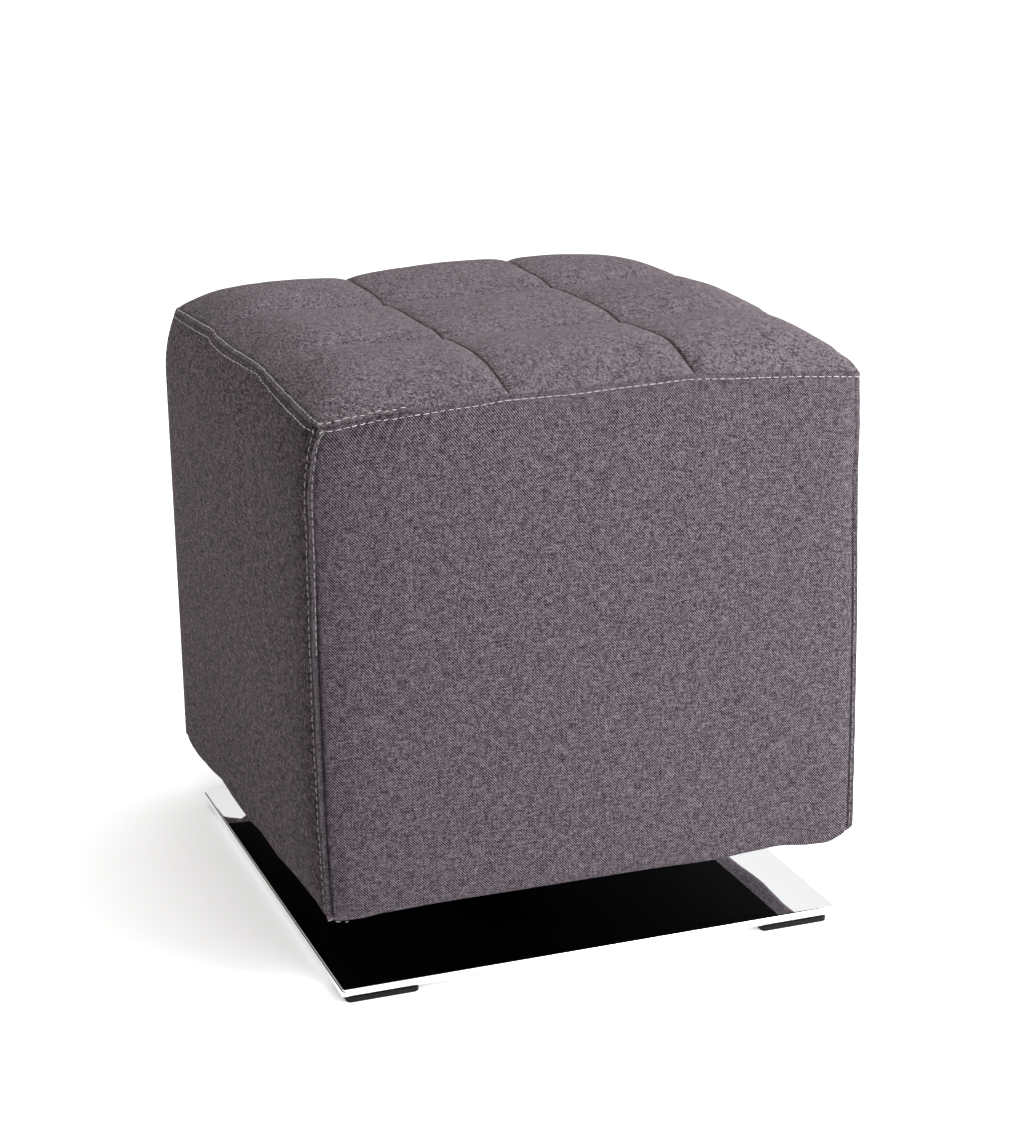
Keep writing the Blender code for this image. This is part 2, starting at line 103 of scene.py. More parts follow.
# Turned-under hem, from its inner edge outwards: (distance in from the side, height, share of the wave)
HEM_FOLD = ((34.0 * MM, 1.5 * MM, 0.0), (12.5 * MM, 1.5 * MM, 0.0), (9.0 * MM, 0.2 * MM, 0.5),
            (6.5 * MM, -1.3 * MM, 1.0), (4.8 * MM, -1.7 * MM, 1.0), (3.2 * MM, -1.3 * MM, 1.0),
            (1.9 * MM, -0.3 * MM, 1.0), (0.9 * MM, 1.2 * MM, 1.0), (0.3 * MM, 2.8 * MM, 1.0))
HEM_TOP = 4.5 * MM

# Channels of the top: the sewn ones run from front to back, the pulled hollows cross them
SEWN_LINES = (0.340, 0.681)
SEWN_DEPTHS = (2.6 * MM, 2.8 * MM)
SEWN_END_DEPTHS = (4.0 * MM, 8.0 * MM)
PULLED_LINES = (0.333, 0.667)

# The top rests this much above the sides along its seam
CLEARANCE = 0.25 * MM

# How far the cube's top leans over its height, to the left and to the back
LEAN = (-4.5 * MM, 3.0 * MM)

# Lengths that the seams share: the line that a join or a crease draws, the strip that holds the cloth flat
# beside a seam, and the least distance that a rule works with
SEAM_LINE = 0.9 * MM
HELD_STRIP = 3.0 * MM
LEAST = 0.001 * MM

# The front border seam lies open to the left, closes over a stretch, and opens a little at its right end
OPEN_UP_TO, CLOSES_OVER = 105.0 * MM, 40.0 * MM
OPENS_FROM, OPENS_OVER, OPENS_BY = 380.0 * MM, 20.0 * MM, 0.6

# The short slanting wrinkles under and over the border seam: their middle and their reach along the front
WRINKLE_MIDDLE, WRINKLE_REACH, WRINKLE_DRIFT = 45.0 * MM, 38.0 * MM, 20.0 * MM

# Roundings of a side: beside its upright seams, under the border seam and over the hem, where it starts below
# the underside. Then its swells in the middle and at the shoulder, how far up the hem's waves reach, and how
# far in the side's fullness carries on under the hem
EDGE_ROUND, TOP_ROUND, HEM_ROUND, HEM_START = 34.0 * MM, 22.0 * MM, 40.0 * MM, 12.0 * MM
MIDDLE_SWELL, SHOULDER_SWELL, SHOULDER_ROUND = 3.0 * MM, 4.0 * MM, 30.0 * MM
HEM_WAVE_REACH, HEM_SWELL_REACH = 60.0 * MM, 12.0 * MM

# Forms of the top: its rounding over the border seam, the sewn channels with their deeper ends, the pulled
# hollows with a crease at their bottom, the fine line drawn in either, and where the fold beside a seam ends
CROWN_ROUND, FRONT_ROUND = 62.0 * MM, 0.72
SEWN_WIDTH, SEWN_END = 7.0 * MM, 32.0 * MM
PULLED_DEPTH, PULLED_WIDTH = 2.5 * MM, 20.0 * MM
PULLED_CREASE, CREASE_WIDTH = 1.6 * MM, 8.0 * MM
FINE_CREASE, FOLD_START, FOLD_OVER = 0.35 * MM, 30.0 * MM, 50.0 * MM

# Pitches of the puckers that the upright rows and the border rows draw up
UPRIGHT_PUCKERS, BORDER_PUCKERS = 7.5 * MM, 6.5 * MM

# Soft flutes that hang from the border seam: pitch, reach downwards, height on the left side and elsewhere
FLUTE_PITCH, FLUTE_REACH = 21.0 * MM, 75.0 * MM
FLUTES_LEFT, FLUTES = 1.5 * MM, 0.7 * MM

# Broad and fine unevenness of the padding: (height, pitch across, pitch upwards or to the back)
SIDE_SWELLS = ((0.9 * MM, 95.0 * MM, 120.0 * MM), (0.14 * MM, 9.0 * MM, 26.0 * MM))
TOP_SWELLS = ((0.8 * MM, 48.0 * MM, 48.0 * MM), (0.14 * MM, 11.0 * MM, 15.0 * MM))

# Seeds of the soft unevenness: each side has its own forty, the top's start here
SIDE_SEEDS, TOP_SEEDS = 40, 300

# The photograph's camera: turn and rise in degrees, place in metres along its own axes, focal length and
# height of the frame in pixels, sensor in mm
CAMERA_TURN, CAMERA_RISE = -20.856, 17.618
CAMERA_BACK, CAMERA_RIGHT, CAMERA_UP = 2.107206, 0.0097297, 0.2277485
CAMERA_FOCAL, FRAME_HEIGHT, SENSOR = 2569.13, 1134.0, 36.0

# Colours of the studio's far left and far right, and the greys between them: (place, grey, warmth)
WALL_ENDS = ((0.04, 0.035, 0.03, 1.0), (0.53, 0.53, 0.53, 1.0))
WALL_TONES = ((0.325, 0.07, 0.02), (0.5, 0.63, 0.01), (0.62, 0.92, 0.0), (0.72, 0.99, 0.0))

# The ceiling's light grows between two heights of the gaze
CEILING_FROM, CEILING_TO, CEILING_LIGHT = 0.35, 0.80, 0.93

# Soft lamp at the front right: watts, metres across, place and aim in metres
KEY_POWER, KEY_SIZE = 52.0, 1.7
KEY_PLACE, KEY_AIM = (1.15, -0.62, 1.20), (0.0, 0.0, 0.25)
FLOOR_GLOW, FLOOR_REACH = 0.30, 40.0


# ---------------------------------------------------------------- sizes and colours a user may change

class PoufCubeSizes(bpy.types.PropertyGroup):
    """Sizes of the padded cube"""
    half: bpy.props.FloatProperty(
        name="Half Width", description="From the middle to the upright seams",
        default=210.0 * MM, unit="LENGTH")
    height: bpy.props.FloatProperty(
        name="Height", description="From the underside to the top corners",
        default=360.0 * MM, unit="LENGTH")
    wall: bpy.props.FloatProperty(
        name="Side Thickness", description="Thickness of a padded side",
        default=34.0 * MM, unit="LENGTH")
    fullness: bpy.props.FloatProperty(
        name="Side Fullness", description="How far a side stands out of its seams",
        default=3.5 * MM, unit="LENGTH")
    crown: bpy.props.FloatProperty(
        name="Crown", description="Rise of the top from its seam to its fields",
        default=18.5 * MM, unit="LENGTH")
    puff: bpy.props.FloatProperty(
        name="Puff", description="Extra fullness in the middle of each quilted field",
        default=3.0 * MM, unit="LENGTH")
    cell: bpy.props.FloatProperty(
        name="Cloth Cell", description="Distance between the cloth's mesh lines",
        default=2.3 * MM, unit="LENGTH")


class PoufSeamSizes(bpy.types.PropertyGroup):
    """Sizes of the seams and the stitching"""
    row_offset: bpy.props.FloatProperty(
        name="Row Offset", description="From a seam to the stitch row beside it",
        default=3.3 * MM, unit="LENGTH")
    pitch: bpy.props.FloatProperty(
        name="Stitch Pitch", description="From one stitch to the next",
        default=6.0 * MM, unit="LENGTH")
    dash: bpy.props.FloatProperty(
        name="Stitch Length", description="Length of thread that shows in one stitch",
        default=4.1 * MM, unit="LENGTH")
    thread: bpy.props.FloatProperty(
        name="Thread Width", description="Width of the top-stitching thread",
        default=0.66 * MM, unit="LENGTH")
    groove: bpy.props.FloatProperty(
        name="Seam Groove", description="How deep the join itself lies",
        default=0.4 * MM, unit="LENGTH")
    crease: bpy.props.FloatProperty(
        name="Crease", description="How deep the cloth is drawn in beside a row",
        default=0.7 * MM, unit="LENGTH")
    gather: bpy.props.FloatProperty(
        name="Gather", description="Height of the puckers that the rows draw up",
        default=0.4 * MM, unit="LENGTH")


class PoufColours(bpy.types.PropertyGroup):
    """Colours of the cloth, the thread and the metal"""
    dark_yarn: bpy.props.FloatVectorProperty(
        name="Dark Yarn", description="Colour of the darkest yarns",
        default=(0.0030, 0.0014, 0.0026), subtype="COLOR", size=3)
    middle_yarn: bpy.props.FloatVectorProperty(
        name="Middle Yarn", description="Colour of most of the cloth",
        default=(0.0583, 0.0464, 0.0566), subtype="COLOR", size=3)
    light_yarn: bpy.props.FloatVectorProperty(
        name="Light Yarn", description="Colour of the lightest yarns",
        default=(0.236, 0.206, 0.233), subtype="COLOR", size=3)
    top_thread: bpy.props.FloatVectorProperty(
        name="Top Thread", description="Colour of the top-stitching thread",
        default=(0.45, 0.435, 0.445), subtype="COLOR", size=3)
    # The upright rows' thread is the top thread, darker
    dull_thread: bpy.props.FloatVectorProperty(
        name="Upright Thread", description="Colour of the worn upright rows",
        default=(0.28, 0.265, 0.27), subtype="COLOR", size=3)
    quilt_thread: bpy.props.FloatVectorProperty(
        name="Quilt Thread", description="Colour of the quilting thread",
        default=(0.005, 0.004, 0.0045), subtype="COLOR", size=3)
    chrome: bpy.props.FloatVectorProperty(
        name="Chrome", description="Tint of the chromed plate",
        default=(0.90, 0.905, 0.91), subtype="COLOR", size=3)
    floor: bpy.props.FloatVectorProperty(
        name="Floor", description="Colour of the studio floor",
        default=(0.93, 0.93, 0.93), subtype="COLOR", size=3)


# ---------------------------------------------------------------- rules of the cube's shape

def eased_table(rows, place, column=1):
    """Smooth values between the rows of a table whose first column is the place."""
    marks = np.array([row[0] for row in rows], float)
    values = np.array([row[column] for row in rows], float)
    upper = np.clip(np.searchsorted(marks, place, side="right"), 1, len(marks) - 1)
    step = np.clip((place - marks[upper - 1]) / (marks[upper] - marks[upper - 1]), 0.0, 1.0)
    eased = 0.5 * step + 0.5 * step * step * (3.0 - 2.0 * step)
    return values[upper - 1] + (values[upper] - values[upper - 1]) * eased


def rolled(distance, width, power=3.0):
    """0 on a seam, 1 past the rounded strip beside it. A higher power rounds it nearer to the seam."""
    return 1.0 - (1.0 - np.clip(distance / width, 0.0, 1.0)) ** power


def bump(distance, centre, width):
    """1 at a distance from a seam, dying out on both sides of it."""
    return np.exp(-((distance - centre) / width) ** 2)


def uneven_line(position, seed):
    """Smooth random values from -1 to 1 along a line, one knot per unit."""
    knots = np.random.RandomState(seed).uniform(-1.0, 1.0, 1024)
    cell = np.floor(position).astype(int)
    step = position - cell
    eased = step * step * (3.0 - 2.0 * step)
    return knots[cell % 1024] * (1.0 - eased) + knots[(cell + 1) % 1024] * eased


def uneven_cloth(x, y, seed):
    """Smooth random values from -1 to 1 over a surface, one knot per unit."""
    knots = np.random.RandomState(seed).uniform(-1.0, 1.0, (128, 128))
    column, row = np.floor(x).astype(int), np.floor(y).astype(int)
    across, along = x - column, y - row
    across = across * across * (3.0 - 2.0 * across)
    along = along * along * (3.0 - 2.0 * along)
    near, far = [knots[column % 128, line % 128] * (1 - across)
                 + knots[(column + 1) % 128, line % 128] * across for line in (row, row + 1)]
    return near * (1 - along) + far * along


def past_both(first, second):
    """Distance from two seams that meet, taken together and rounded at their corner."""
    return (first ** -3.0 + second ** -3.0) ** (-1.0 / 3.0)


def to_lines(fraction, lines, width):
    """Distances to each of some lines across a piece of cloth."""
    return np.stack([np.abs(fraction - line) * width for line in lines])


def wrinkles(run, down, slant, pitch, drift, seed):
    """Slanting waves from -1 to 1 along the front border seam."""
    uneven = drift * uneven_line(run / WRINKLE_DRIFT, seed)
    return np.sin(2.0 * math.pi * (run + slant * down) / pitch + uneven)


def under_wrinkles(run, down):
    """The wrinkles under the front border seam."""
    return wrinkles(run, down, 0.25, 7.6 * MM, 1.2, 9)


def wrinkled(run, away, reach):
    """Strength of the wrinkles: 1 beside the front left corner, dying out along the seam and away from it."""
    return np.exp(-((run - WRINKLE_MIDDLE) / WRINKLE_REACH) ** 2) * np.exp(-away / reach)


def side_along(side):
    """Unit vector along a side, from its left end seen from outside."""
    start, end, _ = SIDES[side]
    return np.array((end[0] - start[0], end[1] - start[1], 0.0)) / 2.0


def cloth_lines(length, seams, step):
    """Distances of the mesh lines along a piece of cloth: a step apart, and close beside each seam."""
    near = np.array((0.0, 0.4, 0.8, 1.3, 1.9, 2.5, 3.1, 3.5, 3.9, 4.3, 4.8, 5.4, 6.2, 7.4, 9.0)) * MM
    stops = [0.0, *seams, length]
    lines = []
    for start, stop in zip(stops, stops[1:]):
        count = max(2, int((stop - start - 2.0 * near[-1]) / step))
        middle = np.linspace(start + near[-1], stop - near[-1], count + 1)[1:-1]
        lines += [start + near, middle, stop - near]
    return np.unique(np.round(np.concatenate(lines), 7))


class CubeShape:
    """Where the cloth of the cube lies. Points come back in the row's frame, in metres."""

    def __init__(self):
        self.sizes = bpy.context.scene.pouf_cube
        self.seams = bpy.context.scene.pouf_seams
        low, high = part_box("underside_board")
        self.origin = np.array(((low.x + high.x) / 2.0, (low.y + high.y) / 2.0, low.z))
        self.width = 2.0 * self.sizes.half
        self.height = self.sizes.height

    def placed(self, point):
        """The cube leans a little over its height and stands on its column."""
        share = point[..., 2] / self.height
        leaned = point + np.stack((LEAN[0] * share, LEAN[1] * share, 0.0 * share), axis=-1)
        return leaned + self.origin

    def reach(self, corner, height):
        """Distance of an upright seam from the cube's middle line, drawn in near the top."""
        over = np.maximum(0.0, height - (self.height - DRAW_IN_HEIGHT)) / DRAW_IN_HEIGHT
        return self.sizes.half - CORNER_DRAW_IN[corner] * over ** 2

    def between_seams(self, side, fraction, height, inset=0.0):
        """Points on the flat sheet between a side's two upright seams, or inside it."""
        start, end, _ = SIDES[side]
        first, last = self.reach(start, height) - inset, self.reach(end, height) - inset
        (start_x, start_y), (end_x, end_y) = [[eased_table(SEAM_BOW[corner], height / MM, column) * MM
                                               for column in (1, 2)] for corner in (start, end)]
        x = start[0] * (first + start_x) * (1.0 - fraction) + end[0] * (last + end_x) * fraction
        y = start[1] * (first + start_y) * (1.0 - fraction) + end[1] * (last + end_y) * fraction
        return np.stack(np.broadcast_arrays(x, y, height * np.ones_like(x)), axis=-1)

    @staticmethod
    def open_seam(side, run):
        """1 where a border seam lies open, 0 where the top's cloth bulges over it."""
        if side != "front":
            return np.ones_like(run)
        left_end = np.clip((OPEN_UP_TO - run) / CLOSES_OVER, 0.0, 1.0)
        return left_end + OPENS_BY * np.clip((run - OPENS_FROM) / OPENS_OVER, 0.0, 1.0)

    def seen_seam(self, across, along, from_side, from_end):
        """How far the border seam lies open at a place on the top."""
        front = (from_end < from_side) & (along < 0.5)
        return np.where(front, self.open_seam("front", across * self.width), 1.0)

    def side_relief(self, side, fraction, level):
        """Creases, puckers and soft folds of a side, as a height over its smooth form."""
        seams = self.seams
        run = fraction * self.width
        from_left, from_right = run, self.width - run
        from_edge, from_top = np.minimum(from_left, from_right), self.height - level
        seed = list(SIDES).index(side) * SIDE_SEEDS
        lower = 1.0 + 1.6 * np.clip((300.0 * MM - level) / (90.0 * MM), 0.0, 1.0) * (from_left < 100.0 * MM)
        crease = seams.crease * lower * bump(from_edge, seams.row_offset + 1.5 * MM, SEAM_LINE)
        crease += 0.4 * seams.crease * bump(from_top, seams.row_offset + 1.2 * MM, SEAM_LINE)
        beyond_edge = np.maximum(0.0, from_edge - seams.row_offset)
        beyond_top = np.maximum(0.0, from_top - seams.row_offset)
        strayed_up = 0.3 * uneven_line(run / (9.0 * MM), seed + 1)
        upright = uneven_line(level / UPRIGHT_PUCKERS + strayed_up, seed + 2)
        strayed_along = 0.4 * uneven_line(level / (14.0 * MM), seed + 3)
        border = uneven_line(run / BORDER_PUCKERS + strayed_along, seed + 4)
        gathers = 0.6 * upright * np.exp(-beyond_edge / (6.0 * MM))
        gathers = gathers + border * np.exp(-beyond_top / (11.0 * MM))
        relief = seams.gather * gathers - crease
        flutes = uneven_line(run / FLUTE_PITCH + 0.8 * level, seed + 5)
        strength = FLUTES_LEFT if side == "left" else FLUTES
        relief += strength * flutes * np.exp(-from_top / FLUTE_REACH) * rolled(from_top, 30.0 * MM, 2.0)
        for number, (height, pitch, rise) in enumerate(SIDE_SWELLS, 6):
            relief += height * uneven_cloth(run / pitch, level / rise, seed + number)
        if side == "front":
            relief += 0.75 * MM * under_wrinkles(run, from_top) * wrinkled(run, beyond_top, 17.0 * MM)
        held = rolled(from_edge, HELD_STRIP, 1.5) * rolled(from_top, HELD_STRIP, 1.5)
        return relief * held

    def side_cloth(self, side, fraction, level, relief=True, groove=True):
        """Points on a side's cloth, by fraction from its left end and level over the underside."""
        fraction, level = np.broadcast_arrays(np.asarray(fraction, float), np.asarray(level, float))
        outward = np.array(SIDES[side][2])
        share = (level - HEM_TOP) / (self.height - HEM_TOP)
        from_edge = np.minimum(fraction, 1.0 - fraction) * self.width
        from_top = self.height - level
        edge = rolled(from_edge - 3.6 * MM, EDGE_ROUND, 3.2)
        below_top = rolled(from_top, TOP_ROUND, 2.0)
        above_hem = rolled(level + HEM_START, HEM_ROUND, 2.0)
        middle = np.sin(math.pi * fraction) * np.sin(math.pi * np.clip(share, 0.0, 1.0))
        swell = edge * self.sizes.fullness * below_top * above_hem + MIDDLE_SWELL * middle
        swell = swell + rolled(from_edge, SHOULDER_ROUND) * SHOULDER_SWELL * (1.0 - below_top)
        if relief:
            swell = swell + self.side_relief(side, fraction, level)
        point = self.between_seams(side, fraction, level)
        at_edge = bump(from_edge, 0.0, SEAM_LINE) * self.seams.groove * groove
        opened = self.open_seam(side, fraction * self.width)
        at_top = bump(from_top, 0.0, SEAM_LINE) * self.seams.groove * groove * opened
        point = point + outward * (swell - np.maximum(at_edge, at_top))[..., None]
        point = point + side_along(side) * (np.where(fraction < 0.5, 1.0, -1.0) * at_edge)[..., None]
        rise = eased_table(SEAM_RISE[side], fraction) * MM * np.maximum(share, 0.0) ** 4
        near_hem = np.maximum(0.0, 1.0 - level / HEM_WAVE_REACH) ** 1.5
        wave = eased_table(HEM_WAVE[side], fraction) * MM * near_hem
        point[..., 2] += rise + wave - at_top
        return point

    def border(self, side, fraction):
        """Points on the border seam that a side shares with the top."""
        return self.side_cloth(side, fraction, self.height, relief=False, groove=False)

    def quilting(self, across, along):
        """Crown, puffs, channels and puckers of the top, as a height over the sheet between its seams."""
        seams, width = self.seams, self.width
        x, y = across * width, along * width
        from_side = np.maximum(np.minimum(x, width - x), LEAST)
        from_end = np.maximum(np.minimum(y, width - y), LEAST)
        from_seam = past_both(from_side, from_end)
        softened = np.where(along < 0.5, FRONT_ROUND, 1.0) * from_end
        border = rolled(past_both(from_side, softened), CROWN_ROUND, 2.3)
        puffs = self.puffed(across, SEWN_LINES) * self.puffed(along, PULLED_LINES)
        to_sewn = to_lines(across, SEWN_LINES, width)
        nearest, sewn = to_sewn.argmin(0), to_sewn.min(0)
        pulled = to_lines(along, PULLED_LINES, width).min(0)
        depth = np.array(SEWN_DEPTHS)[nearest]
        depth = depth + np.array(SEWN_END_DEPTHS)[nearest] * np.exp(-(from_end / SEWN_END) ** 2)
        hollow = depth * np.exp(-sewn / SEWN_WIDTH)
        hollow += (PULLED_DEPTH * np.exp(-(pulled / PULLED_WIDTH) ** 2)
                   + PULLED_CREASE * np.exp(-pulled / CREASE_WIDTH))
        height = (self.sizes.crown + self.sizes.puff * puffs) * border - hollow * border ** 0.45
        inner = rolled(from_side - FOLD_START, FOLD_OVER, 1.0)
        creases = bump(sewn, 0.0, SEAM_LINE) * FINE_CREASE * rolled(from_end - 12.0 * MM, 12.0 * MM, 1.0)
        creases += bump(pulled, 0.0, 1.4 * MM) * FINE_CREASE * inner
        run = np.where(from_side < from_end, y, x)
        seen = self.seen_seam(across, along, from_side, from_end)
        creases += 0.5 * seams.crease * bump(from_seam, seams.row_offset + 1.2 * MM, SEAM_LINE) * seen
        gathers = uneven_line(y / (8.0 * MM), TOP_SEEDS + 1) * np.exp(-sewn / (9.0 * MM))
        gathers += 0.7 * uneven_line(x / (9.0 * MM), TOP_SEEDS + 2) * np.exp(-pulled / (12.0 * MM))
        beyond = np.maximum(0.0, from_seam - seams.row_offset)
        drawn_up = uneven_line(run / BORDER_PUCKERS, TOP_SEEDS + 3)
        gathers += drawn_up * np.exp(-beyond / (12.0 * MM)) * (0.35 + 0.65 * seen)
        gathers = gathers * seams.gather * rolled(np.minimum(sewn, pulled), 2.0 * MM, 1.0)
        soft = sum(swell * uneven_cloth(x / pitch, y / back, TOP_SEEDS + number)
                   for number, (swell, pitch, back) in enumerate(TOP_SWELLS, 4))
        over_seam = 0.7 * MM * wrinkles(x, y, -0.6, 8.4 * MM, 1.1, 11) * wrinkled(x, y, 16.0 * MM)
        return height + (gathers - creases + soft * border + over_seam) * rolled(from_seam, HELD_STRIP, 1.5)

    @staticmethod
    def puffed(fraction, lines):
        """0 on the lines and the seams, 1 midway between them."""
        stops = np.array((0.0, *lines, 1.0))
        upper = np.clip(np.searchsorted(stops, fraction, side="right"), 1, len(stops) - 1)
        return np.sin(math.pi * (fraction - stops[upper - 1]) / (stops[upper] - stops[upper - 1]))

    def top_cloth(self, across, along):
        """Points on the quilted top, by fractions from the left and from the front."""
        across, along = np.broadcast_arrays(np.asarray(across, float), np.asarray(along, float))
        a, b = across[..., None], along[..., None]
        sheet = self.border("front", across) * (1 - b) + self.border("back", 1.0 - across) * b
        sheet = sheet + self.border("left", 1.0 - along) * (1 - a) + self.border("right", along) * a
        corners = [self.border(side, end) for side, end in (("front", 0.0), ("front", 1.0),
                                                            ("back", 1.0), ("back", 0.0))]
        front, back = [left * (1 - a) + right * a for left, right in (corners[:2], corners[2:])]
        sheet = sheet - (front * (1 - b) + back * b)
        width, groove = self.width, self.seams.groove
        from_side, from_end = [np.maximum(np.minimum(place, 1.0 - place) * width, LEAST)
                               for place in (across, along)]
        from_seam = past_both(from_side, from_end)
        sheet[..., 2] -= (sheet[..., 2] - self.height) * 0.6 * rolled(from_seam, 150.0 * MM, 2.0)
        sheet[..., 2] += self.quilting(across, along)
        opened = np.where(along < 0.5, self.open_seam("front", across * width), 1.0)
        at_side = bump(from_side, 0.0, SEAM_LINE) * groove
        at_end = bump(from_end, 0.0, SEAM_LINE) * groove * opened
        sheet[..., 0] += np.where(across < 0.5, at_side, -at_side)
        sheet[..., 1] += np.where(along < 0.5, at_end, -at_end)
        sheet[..., 2] -= np.maximum(at_side, at_end)
        return sheet

    def placed_top(self, across, along):
        """The same points where they lie in the row's frame."""
        return self.placed(self.top_cloth(across, along))

    def inner_line(self, side, fraction, height):
        """Points along the inner face of a side's padding."""
        start, end, _ = SIDES[side]
        reach = self.sizes.half - self.sizes.wall
        x = reach * (start[0] * (1.0 - fraction) + end[0] * fraction)
        y = reach * (start[1] * (1.0 - fraction) + end[1] * fraction)
        return np.stack(np.broadcast_arrays(x, y, height * np.ones_like(x)), axis=-1)


# ---------------------------------------------------------------- making pieces

def fill(tree, socket, value):
    """Give a socket a link or a value."""
    if isinstance(value, bpy.types.NodeSocket):
        tree.links.new(value, socket)
    else:
        socket.default_value = value


def shade_node(tree, kind, place=(0, 0), **settings):
    """Add a node and set its properties by name. The other settings fill its inputs, by name or as i0, i1."""
    made = tree.nodes.new(kind)
    made.location = place
    for name, value in settings.items():
        if hasattr(made, name):
            setattr(made, name, value)
            continue
        key = int(name[1:]) if name[0] == "i" and name[1:].isdigit() else name.replace("_", " ")
        fill(tree, made.inputs[key], value)
    return made


def math_node(tree, operation, *values):
    """The result of a sum on values or links."""
    inputs = {"i%d" % number: value for number, value in enumerate(values)}
    return shade_node(tree, "ShaderNodeMath", (-900, 0), operation=operation, **inputs).outputs[0]


def mapped(tree, value, low, high, first, last, **settings):
    """A value moved from the range low to high to the range first to last."""
    return shade_node(tree, "ShaderNodeMapRange", (-350, 0), **settings, Value=value,
                      i1=low, i2=high, i3=first, i4=last).outputs["Result"]


def scene_object(name, data):
    """Put a mesh, a lamp or a camera into the scene."""
    made = bpy.data.objects.new(name, data)
    bpy.context.collection.objects.link(made)
    return made


def smooth_piece(name, mesh, material, sharp):
    """Turn a closed mesh's faces outwards, smooth it up to an angle in degrees and make it a piece."""
    if signed_volume(mesh) < 0.0:
        mesh.flip_normals()
    mesh.shade_smooth()
    mesh.set_sharp_from_angle(angle=math.radians(sharp))
    mesh.materials.append(material)
    return scene_object(name, mesh)


def cloth_object(name, points, faces, uv, shade, material):
    """A piece of cloth from its points, with its own thread map and the shade of its creases."""
    mesh = bpy.data.meshes.new(name)
    mesh.from_pydata(points.tolist(), [], faces)
    mesh.validate()
    corners = np.zeros(len(mesh.loops), np.int32)
    mesh.loops.foreach_get("vertex_index", corners)
    layer = mesh.uv_layers.new(name="thread_map")
    layer.data.foreach_set("uv", np.asarray(uv, np.float32)[corners].ravel())
    shades = mesh.attributes.new("seam_shade", "FLOAT", "POINT")
    shades.data.foreach_set("value", np.asarray(shade, np.float32))
    return smooth_piece(name, mesh, material, 65.0)


def signed_volume(mesh):
    """Volume inside a closed mesh, below nought where its faces point inwards."""
    mesh.calc_loop_triangles()
    count = len(mesh.loop_triangles)
    index = np.zeros(count * 3, np.int32)
    mesh.loop_triangles.foreach_get("vertices", index)
    points = np.zeros(len(mesh.vertices) * 3, np.float32)
    mesh.vertices.foreach_get("co", points)
    a, b, c = points.reshape(-1, 3)[index].reshape(-1, 3, 3).transpose(1, 0, 2)
    return float(np.einsum("ij,ij->i", a, np.cross(b, c)).sum()) / 6.0


def stack_faces(rings, around):
    """Quads between neighbouring rings of a tube of points."""
    ring, step = np.meshgrid(np.arange(rings - 1), np.arange(around), indexing="ij")
    after = (step + 1) % around
    quads = np.stack((ring * around + step, (ring + 1) * around + step,
                      (ring + 1) * around + after, ring * around + after), axis=-1)
    return quads.reshape(-1, 4).tolist()


def outline_solid(name, rings, material, sharp=40.0):
    """A closed solid through outlines with equally many points, lowest first."""
    points = np.concatenate(rings)
    around = len(rings[0])
    faces = stack_faces(len(rings), around)
    faces += [list(range(around)), list(range(len(points) - around, len(points)))[::-1]]
    mesh = bpy.data.meshes.new(name)
    mesh.from_pydata(points.tolist(), [], faces)
    return smooth_piece(name, mesh, material, sharp)


# ---------------------------------------------------------------- finishes

# The yarns' pitches, and what is left of the cloth's colour where shade is painted into the depth of a seam
WARP_PITCH, WEFT_PITCH = 0.93 * MM, 1.04 * MM
SEAM_SHADE = (0.22, 0.19, 0.20)

# How the weave shows on a piece: (speckle, slubs, clouds, twill, cross twill, colour tint)
# The tint is painted light on the top, which it makes a little lighter, and painted shade on the left side,
# which it makes darker and warmer
WEAVES = {
    "melange_weave": (0.45, 0.33, 0.03, 0.37, 0.16, (1.0, 1.0, 1.0)),
    "melange_weave_top": (0.66, 0.30, 0.08, 0.36, 0.15, (1.04, 1.03, 1.0)),
    "melange_weave_slubby_shaded": (0.70, 0.55, 0.14, 0.22, 0.10, (0.90, 0.85, 0.79)),
}


def new_material(name):
    """A new material and its node tree."""
    material = bpy.data.materials.new(name)
    material.use_nodes = True
    return material, material.node_tree


def finished(material, **inputs):
    """Fill the inputs of a material's shader by their names."""
    tree = material.node_tree
    for name, value in inputs.items():
        fill(tree, tree.nodes["Principled BSDF"].inputs[name.replace("_", " ")], value)
    return material


def grain_of(tree, scale, detail=2.0):
    """Fine noise that stays with the piece."""
    place = shade_node(tree, "ShaderNodeTexCoord", (-900, 0)).outputs["Object"]
    return shade_node(tree, "ShaderNodeTexNoise", (-650, 0), Vector=place, Scale=scale,
                      Detail=detail).outputs["Fac"]


def two_tones(tree, mixed, dark, light, low=0.0, high=1.0):
    """A colour that runs from dark to light."""
    ramp = shade_node(tree, "ShaderNodeValToRGB", (-400, 0), Fac=mixed)
    for stop, position, colour in zip(ramp.color_ramp.elements, (low, high), (dark, light)):
        stop.position, stop.color = position, (*colour, 1.0)
    return ramp.outputs["Color"]


def relief_of(tree, height, strength, depth):
    """The small relief of a finish."""
    return shade_node(tree, "ShaderNodeBump", (-400, -300), Strength=strength, Distance=depth,
                      Height=height).outputs["Normal"]


